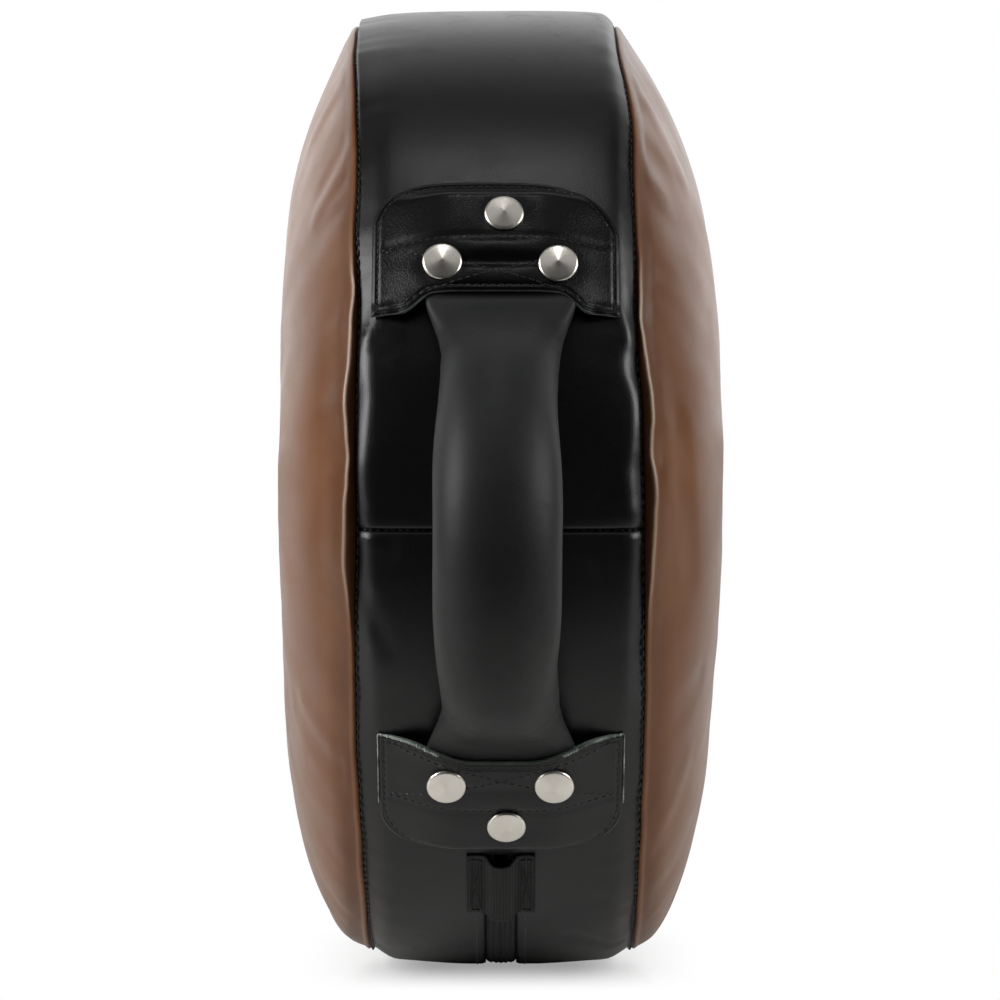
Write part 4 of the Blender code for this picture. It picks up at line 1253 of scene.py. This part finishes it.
def make_zip_stitching():
    """The row of grey thread down both edges of the slot and across its closed end."""
    beside, end = 0.0098, -139.7
    runs = []
    for x in (-beside, beside):
        runs.append([(band_point(a, x), outward(a)) for a in span(-136.5, -53.5, 240)])
    runs.append([(band_point(end, x), outward(end)) for x in span(-beside, beside, 12)])
    stitches("zip_edge_stitches", runs, 0.0032, 0.00026, finish=GREY_THREAD)


# Room, lights and camera

def make_room():
    """A white floor and backdrop, with a soft shadow painted on the floor close round the pad's foot and
    painted shade on the floor in front of the pad.
    """
    size = 9.0
    corners = [(-size, -size, 0), (size, -size, 0), (size, size, 0), (-size, size, 0)]
    mesh = new_mesh("floor", corners, [(0, 1, 2, 3)])
    floor = bpy.data.objects.new("floor", mesh)
    bpy.context.scene.collection.objects.link(floor)
    floor.location.z = -0.0006
    f = Finish("floor_finish")
    beside = (f.axis("X") * f.axis("X")) ** 0.5
    ahead = (f.axis("Y") * f.axis("Y")) ** 0.5
    # Painted shadow: in this soft box round the pad's foot the camera sees less white glow and more of the
    # dimly lit floor.
    shade = (1 - ahead.within(0.020, 0.080)) * (1 - beside.within(0.027, 0.088))
    # Painted shade: ahead of the pad the floor is near black. Only reflections and bounced light meet it,
    # while the camera sees white glow there.
    front = (0 - f.axis("Y")).within(0.28, 0.62)
    paper_with_shaded_front = f.blend(front, (0.80, 0.80, 0.78), (0.05, 0.05, 0.05))
    mesh.materials.append(f.set(Base_Color=paper_with_shaded_front, Roughness=0.16, Specular_IOR_Level=0.12))
    glow = f.node("ShaderNodeEmission", None, {"Color": (1.0, 1.0, 1.0), "Strength": 1.0}, "Emission")
    shader = Field(f, f.shader.outputs["BSDF"])
    white = f.node("ShaderNodeLightPath", out="Is Camera Ray") * (1 - shade * 0.67)
    mixed = f.node("ShaderNodeMixShader", None, {0: white, 1: shader, 2: glow})
    f.put(f.nodes["Material Output"].inputs["Surface"], mixed)

    world = bpy.data.worlds.new("studio")
    bpy.context.scene.world = world
    world.use_nodes = True
    nodes, links = world.node_tree.nodes, world.node_tree.links
    path = nodes.new("ShaderNodeLightPath")
    choose = nodes.new("ShaderNodeMix")
    fill_strength, seen_strength = 0.026, 1.0
    choose.inputs[2].default_value = fill_strength
    choose.inputs[3].default_value = seen_strength
    links.new(path.outputs["Is Camera Ray"], choose.inputs[0])
    nodes["Background"].inputs["Color"].default_value = (1, 1, 1, 1)
    links.new(choose.outputs[0], nodes["Background"].inputs["Strength"])


def add_light(name, place, aim, size, power):
    """A rectangular lamp at a place, turned towards another."""
    data = bpy.data.lights.new(name, "AREA")
    data.shape = "RECTANGLE"
    data.size, data.size_y = size
    data.energy = power
    lamp = bpy.data.objects.new(name, data)
    bpy.context.scene.collection.objects.link(lamp)
    lamp.location = place
    lamp.rotation_euler = (Vector(aim) - Vector(place)).to_track_quat("-Z", "Y").to_euler()


def make_lights():
    """Two soft boxes beside the pad, weak light from above and a glow behind."""
    middle = (0, 0, 0.2)
    add_light("left_softbox", (-1.62, -0.50, 0.92), middle, (0.85, 0.95), 25)
    add_light("right_softbox", (1.62, -0.50, 0.92), middle, (0.85, 0.95), 17)
    add_light("top_softbox", (0.0, 1.05, 1.70), middle, (1.8, 0.9), 2.2)
    add_light("ceiling", (0.0, -1.10, 2.40), (0, -1.10, 0.0), (3.0, 2.2), 6)
    add_light("overhead_lamp", (0.0, -0.30, 1.50), middle, (0.16, 0.16), 0.8)
    add_light("backdrop_glow", (0.0, 2.3, 1.0), middle, (5.0, 2.0), 46)


def make_camera():
    """A long lens a little above the middle of the pad, looking at its rim."""
    distance, elevation = 1.86, math.radians(4.7)
    data = bpy.data.cameras.new("camera")
    data.sensor_width = 36.0
    data.lens = 158.6
    data.shift_y = -0.0125
    data.shift_x = -0.001
    camera = bpy.data.objects.new("camera", data)
    bpy.context.scene.collection.objects.link(camera)
    camera.location = CENTRE + distance * Vector((0, -math.cos(elevation), math.sin(elevation)))
    camera.rotation_euler = (CENTRE - camera.location).to_track_quat("-Z", "Y").to_euler()
    bpy.context.scene.camera = camera


def dress_nodes():
    """Nodes that keep their own shape take their finish here."""
    slots = {"foam": FOAM, "webbing": WEBBING, "nickel": NICKEL, "zip_coil": COIL, "zip_metal": ENAMEL,
             "zip_tape": TAPE, "elastic": ELASTIC, "black_leather": BLACK, "brown_leather": BROWN,
             "lining_leather": LINING_BLACK}
    for part in frame["record"]["subparts"]:
        node = frame["nodes"][part["node"]]
        node.data.materials.clear()
        node.data.materials.append(slots[part["material_slot"]])


make_camera()
make_room()
make_lights()
dress_nodes()
make_face("face_cover_front", 1)
make_face("face_cover_back", -1)
make_band("band_upper", 0, 180)
make_band("band_lower", -180, 0, slot=(-(180 - SLOT_END), -SLOT_END))
make_lining()
make_rim_stitching()
for handle_side, handle_word in ((0, "left"), (180, "right")):
    make_grip(handle_side, handle_word)
    for sign, end_word in ((1, "upper"), (-1, "lower")):
        make_patch(handle_side, sign, handle_word + "_" + end_word)
        make_rivets(handle_side, sign, handle_word + "_" + end_word)
    make_raw_edge(handle_side, handle_word + "_lower")
make_tape("zip_tape_front", 1)
make_tape("zip_tape_back", -1)
make_elastic()
make_zip_stitching()

bpy.context.scene.view_settings.view_transform = "Standard"
